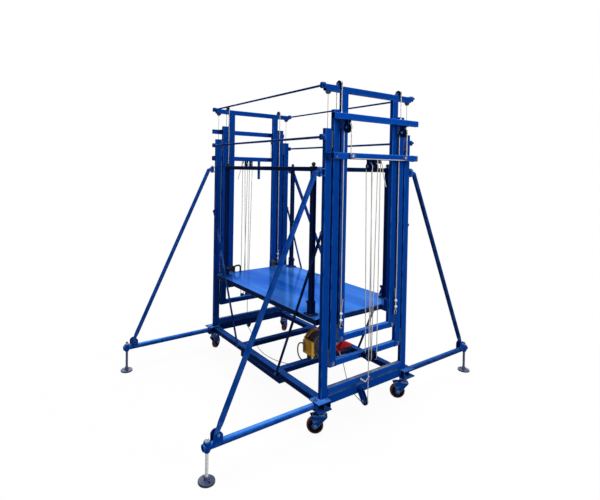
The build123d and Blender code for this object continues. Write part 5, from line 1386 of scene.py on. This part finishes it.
def ropeEye(x, liveY, loopY, loopZ, top, tailRise):
    # an eye round its pin, with a thimble, the tail and two grips that hold the legs together
    shape = Shape()
    away = math.copysign(1, loopY - liveY)
    legY = liveY + away * ropeEnd["legs"]
    low, high = [loopZ + rise for rise in ropeEnd["grips"]]
    bow = arc((liveY + away * ropeEnd["aside"], loopZ), ropeEnd["r"], 90 + 70 * away, 220 * away, 18)
    past = ropeEnd["past"]
    eye = [(x, liveY, top), (x, liveY, low - past), *[(x, y, z) for y, z in bow]]
    tail = [(x, legY, low - past), (x, legY, high + past), (x + 2, legY + ropeEnd["stray"] * away, top + tailRise)]
    shape.rope([*eye, *tail], ropeEnd["rope"])
    thimble = arc((liveY + away * ropeEnd["aside"], loopZ), ropeEnd["r"] - ropeEnd["thimble"], -200, 220, 22)
    shape.sweep([(x, y, z) for y, z in thimble], [0.6, 3.0, 0.6, 3.0], "turnedSteel")
    middle = (liveY + legY) / 2
    gripX, (halfY, halfZ) = [x + v for v in ropeEnd["gripX"]], ropeEnd["gripHalf"]
    start, end = about(x, ropeEnd["boltX"])
    for z in (low, high):
        shape.block(gripX, about(middle, halfY), about(z, halfZ), "brightZinc", 5, 4)
        for y in about(middle, ropeEnd["boltAside"]):
            shape.rod((start, y, z), (end, y, z), ropeEnd["boltR"], "brightZinc", 0.4, 16)
            shape.hexHead((x + ropeEnd["nutAt"], y, z), (1, 0, 0), 5, 3.4)
    return shape


def ropeEnds():
    stage, platformSide = Shape(), Shape()
    x, liveY, loopY, loopZ = ropeEnd["deckEye"]
    for sx, sy in corners.values():
        turn = Matrix.Identity(4) if sx > 0 else mirrorX
        inX = stageSheave["x"] - stageSheave["r"]
        upper = ropeEye(inX, sy * stageSheave["y"], sy * eyePin["y"], eyePin["z"], stageSheave["ropeFoot"],
                        ropeEnd["stageTail"])
        stage.absorb(upper, turn)
        lower = ropeEye(x, sy * liveY, sy * loopY, loopZ, topSheave["ropeFoot"], ropeEnd["deckTail"])
        platformSide.absorb(lower, turn)
    stage.piece("stageRopeEnds", "inner", ["stage_rope_ends"], "wire_rope")
    platformSide.piece("platformRopeEnds", "platform", ["platform_rope_ends"], "wire_rope")


def middleBends():
    for name, side in sides.items():
        shape = Shape()
        for y in sheavePlaces(name)[0::2]:
            shape.rope(mirrorPath(bend((tackle["x"], y, tackle["lower"]), tackle["r"], 180, 180), side))
        for y in (-stageSheave["y"], stageSheave["y"]):
            shape.rope(mirrorPath(bend((stageSheave["x"], y, stageSheave["z"]), stageSheave["r"], 0, 180), side))
        word = name.lower()
        shape.piece(f"middleRopeBends{name}", f"middle_{word}", [f"middle_rope_bends_{word}"], "wire_rope", sharp=60)


looseEnd = {"drift": 40, "r": 2.9,  # the fall's bare end beside the becket: x, share of the drift, z
            "route": ((825, 0.0, 1691), (828, 0.1, 1663), (825, 0.5, 1600), (831, 1.0, 1525))}


def fixedRopes():
    shape = Shape()
    x, z, coil = hoist["x"], hoist["z"], hoist["coil"]
    for name, side in sides.items():
        p = sheavePlaces(name)
        for y in p[1::2]:
            shape.rope(mirrorPath(bend((tackle["x"], y, tackle["upper"]), tackle["r"], 0, 180), side))
        shape.rope(mirrorPath([(farX, p[3], basePulley["z"]), (farX, p[3], tackle["upper"])], side))
        levelX, y, r = equaliser["x"], equaliser["y"], equaliser["r"]
        low = [(levelX, a, b) for a, b in arc((-y, equaliser["z"]), r, 180, 90, 8)]
        shape.rope(mirrorPath([*low, *[(levelX, -a, b) for _, a, b in low[::-1]]], side))
        drift = -looseEnd["drift"] * tackle["starts"][name][1]
        tail = [(tailX, p[0] + share * drift, tailZ) for tailX, share, tailZ in looseEnd["route"]]
        tail = routePoints([Vector(spot) / 1000 for spot in mirrorPath(tail, side)])
        shape.rope([spot * 1000 for spot in tail], looseEnd["r"])
    pulley = (basePulley["x"], sheavePlaces("Right")[3], basePulley["z"])
    stepX, stepZ = x - pulley[0], z - pulley[2]
    turn = math.atan2(stepZ, stepX) - math.acos((coil - basePulley["r"]) / math.hypot(stepX, stepZ))
    leaves = 180 + math.degrees(turn)
    start = Vector(bend(pulley, basePulley["r"], leaves, 0)[0])
    end = Vector(bend((x, hoist["right"], z), coil, leaves, 0)[0])
    shape.rope(bend(pulley, basePulley["r"], leaves, 360 - leaves))
    way = Vector((end.x - start.x, 0, end.z - start.z)).normalized() * hoist["straight"]
    bendOne, bendTwo = start + way, end - way
    run = [start, bendOne]
    for t in [i / 20 for i in range(1, 20)]:
        run.append(bendOne.lerp(bendTwo, t) + Vector((0, (bendTwo.y - bendOne.y) * ((3 - 2 * t) * t * t - t), 0)))
    shape.rope([*run, bendTwo, end])
    for first, way, angle in ((hoist["right"], 1, leaves), (hoist["left"], -1, 180)):
        wound = []
        for i in range(40 * hoist["turns"] + 1):
            turn = math.radians(angle) + way * math.tau * i / 40
            across = first + way * hoist["pitch"] * i / 40
            wound.append((x + coil * math.cos(turn), across, z + coil * math.sin(turn)))
        shape.rope(wound, looseEnd["r"])
    left = (basePulley["x"], sheavePlaces("Left")[3], basePulley["z"])
    shape.rope(mirrorPath(bend(left, basePulley["r"], 300, 60), -1))
    shape.piece("fixedRopes", "base", ["fixed_ropes"], "wire_rope", sharp=60)


hoistFalls()
stageRopes()
platformRopes()
limitCords()
ropeEnds()
middleBends()
fixedRopes()
print("ropes made")

slackRoute = [(-0.802, 0.01, 0.11075), (-0.72925, 0.01, 0.06875), (-0.652, -0.003, 0.036), (-0.578, -0.028, 0.018),
              (-0.498, -0.054, 0.011), (-0.416, -0.07, 0.01), (-0.333, -0.073, 0.01), (-0.25, -0.064, 0.01),
              (-0.169, -0.044, 0.013), (-0.092, -0.016, 0.02), (-0.02, 0.014, 0.034), (0.046, 0.048, 0.058),
              (0.104, 0.086, 0.092), (0.146, 0.112, 0.141), (0.174, 0.123, 0.2), (0.185, 0.123, 0.27),
              (0.185, 0.123, 0.337)]
leadRoute = [(0.217, -0.113, 0.318), (0.14, -0.113, 0.318), (0.14, -0.113, 0.186), (0.207, -0.113, 0.186)]


def slackRope():
    points = routePoints(slackRoute)
    shape = Shape()
    shape.rope([spot * 1000 for spot in points])
    made = shape.piece("slackRope", "base", ["slack_rope"], "wire_rope", sharp=60)


leadEnd = {"spot": (207, -113, 186), "r": 11, "high": 8, "boot": [(9, 0), (8.6, 6), (7, 16)]}


def hoistLead():
    gland = Shape()
    gland.hexHead(leadEnd["spot"], (1, 0, 0), leadEnd["r"], leadEnd["high"], "blackMoulding")
    gland.turned(leadEnd["boot"], leadEnd["spot"], (-1, 0, 0), "blackMoulding", 28)
    held = gland.piece("leadGland", "base", ["hoist_lead"], "lead_rubber")
    made = routeCurve("hoistLead", leadRoute, 0.005)
    made.data.materials.append(finishes["cableJacket"])
    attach(made, "base")
    runLength(routePoints(leadRoute))


slackRope()
hoistLead()
print("cords made")

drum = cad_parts["hoist_drum"]  # the drum keeps its turned solid
drum.data.materials.clear()
drum.data.materials.append(finishes["turnedSteel"])

# floor, light and camera
studio = {"seenTone": 0.82, "bounceTone": 0.15, "share": (0.95, 1.0), "fade": (1.6, 3.0), "world": 0.09, "half": 30,
          "floorZ": -0.0004}
lamps = {"topLamp": ((0.3, -0.2, 7.5), (0, 0, 0), (5.0, 5.0), 480),  # place, aim, size, watts
         "rightLamp": ((4.6, 0.9, 2.4), (0, 0, 1.0), (2.6, 3.0), 150),
         "frontLamp": ((1.5, -4.6, 2.2), (0, 0, 1.0), (3.0, 2.5), 20),
         "leftLamp": ((-4.6, 0.5, 2.4), (0, 0, 1.0), (2.6, 3.0), 90),
         "backLamp": ((-0.5, 4.8, 2.2), (0, 0, 1.0), (3.0, 2.5), 70)}


def seenRays(tree):
    # what the camera, a mirror or glass looks at
    rays = put(tree, "ShaderNodeLightPath").outputs
    seen = math2(tree, "MAXIMUM", rays["Is Camera Ray"], rays["Is Glossy Ray"])
    return math2(tree, "MAXIMUM", seen, rays["Is Transmission Ray"])


def paleFloor():
    half, z = studio["half"], studio["floorZ"]
    mesh = bpy.data.meshes.new("floor")
    mesh.from_pydata([(-half, -half, z), (half, -half, z), (half, half, z), (-half, half, z)], [], [(0, 1, 2, 3)])
    floor = bpy.data.objects.new("floor", mesh)
    bpy.context.scene.collection.objects.link(floor)
    material = bpy.data.materials.new("paleFloor")
    material.use_nodes = True
    tree = material.node_tree
    tree.nodes.clear()
    seen = seenRays(tree)
    tone = ramp(tree, seen, 0.0, 1.0, studio["bounceTone"], studio["seenTone"])
    tone = put(tree, "ShaderNodeCombineColor", {0: tone, 1: tone, 2: tone}).outputs[0]
    plain = put(tree, "ShaderNodeBsdfDiffuse", {"Color": tone}).outputs[0]
    glow = put(tree, "ShaderNodeEmission", {"Color": (1, 1, 1, 1), "Strength": 1.0}).outputs[0]
    where = put(tree, "ShaderNodeTexCoord").outputs["Object"]
    far = put(tree, "ShaderNodeVectorMath", {0: where}, operation="LENGTH").outputs["Value"]
    share = math2(tree, "MULTIPLY", seen, ramp(tree, far, *studio["fade"], *studio["share"]))
    mixed = put(tree, "ShaderNodeMixShader", {0: share, 1: plain, 2: glow}).outputs[0]
    put(tree, "ShaderNodeOutputMaterial", {"Surface": mixed})
    mesh.materials.append(material)


def softRoom():
    world = bpy.data.worlds.new("softRoom")
    bpy.context.scene.world = world
    world.use_nodes = True
    tree = world.node_tree
    tree.nodes.clear()
    seen = seenRays(tree)
    white = put(tree, "ShaderNodeBackground", {"Color": (1, 1, 1, 1), "Strength": 1.0}).outputs[0]
    soft = put(tree, "ShaderNodeBackground", {"Color": (0.95, 0.97, 1, 1), "Strength": studio["world"]}).outputs[0]
    mixed = put(tree, "ShaderNodeMixShader", {0: seen, 1: soft, 2: white}).outputs[0]
    put(tree, "ShaderNodeOutputWorld", {"Surface": mixed})


def areaLamp(name, spot, aim, size, power):
    data = bpy.data.lights.new(name, "AREA")
    data.shape = "RECTANGLE"
    data.size, data.size_y = size
    data.energy = power
    lamp = bpy.data.objects.new(name, data)
    lamp.location = spot
    lamp.rotation_euler = (Vector(aim) - Vector(spot)).to_track_quat("-Z", "Y").to_euler()
    bpy.context.scene.collection.objects.link(lamp)


paleFloor()
softRoom()
for name, setting in lamps.items():
    areaLamp(name, *setting)

view = {"spot": (2.7250, -2.1469, 1.6311), "heading": 55.7295, "pitch": -0.8789, "roll": 0.9550, "focal": 430.08,
        "centre": (271.27, 175.26), "frame": (600, 500), "sensor": 36.0}


def photoCamera():
    data = bpy.data.cameras.new("photoCamera")
    camera = bpy.data.objects.new("photoCamera", data)
    bpy.context.scene.collection.objects.link(camera)
    wide, high = view["frame"]
    data.sensor_width = view["sensor"]
    data.sensor_fit = "HORIZONTAL"
    data.lens = view["focal"] * view["sensor"] / wide
    data.shift_x = (wide / 2 - view["centre"][0]) / wide
    data.shift_y = (view["centre"][1] - high / 2) / wide
    data.clip_start, data.clip_end = 0.05, 200
    heading, pitch, roll = (math.radians(view[key]) for key in ("heading", "pitch", "roll"))
    turn = Matrix.Rotation(heading, 4, "Z") @ Matrix.Rotation(math.pi / 2 + pitch, 4, "X")
    camera.matrix_world = Matrix.Translation(view["spot"]) @ turn @ Matrix.Rotation(roll, 4, "Z")
    bpy.context.scene.camera = camera


photoCamera()
bpy.context.scene.view_settings.view_transform = "Standard"
print("scene ready")
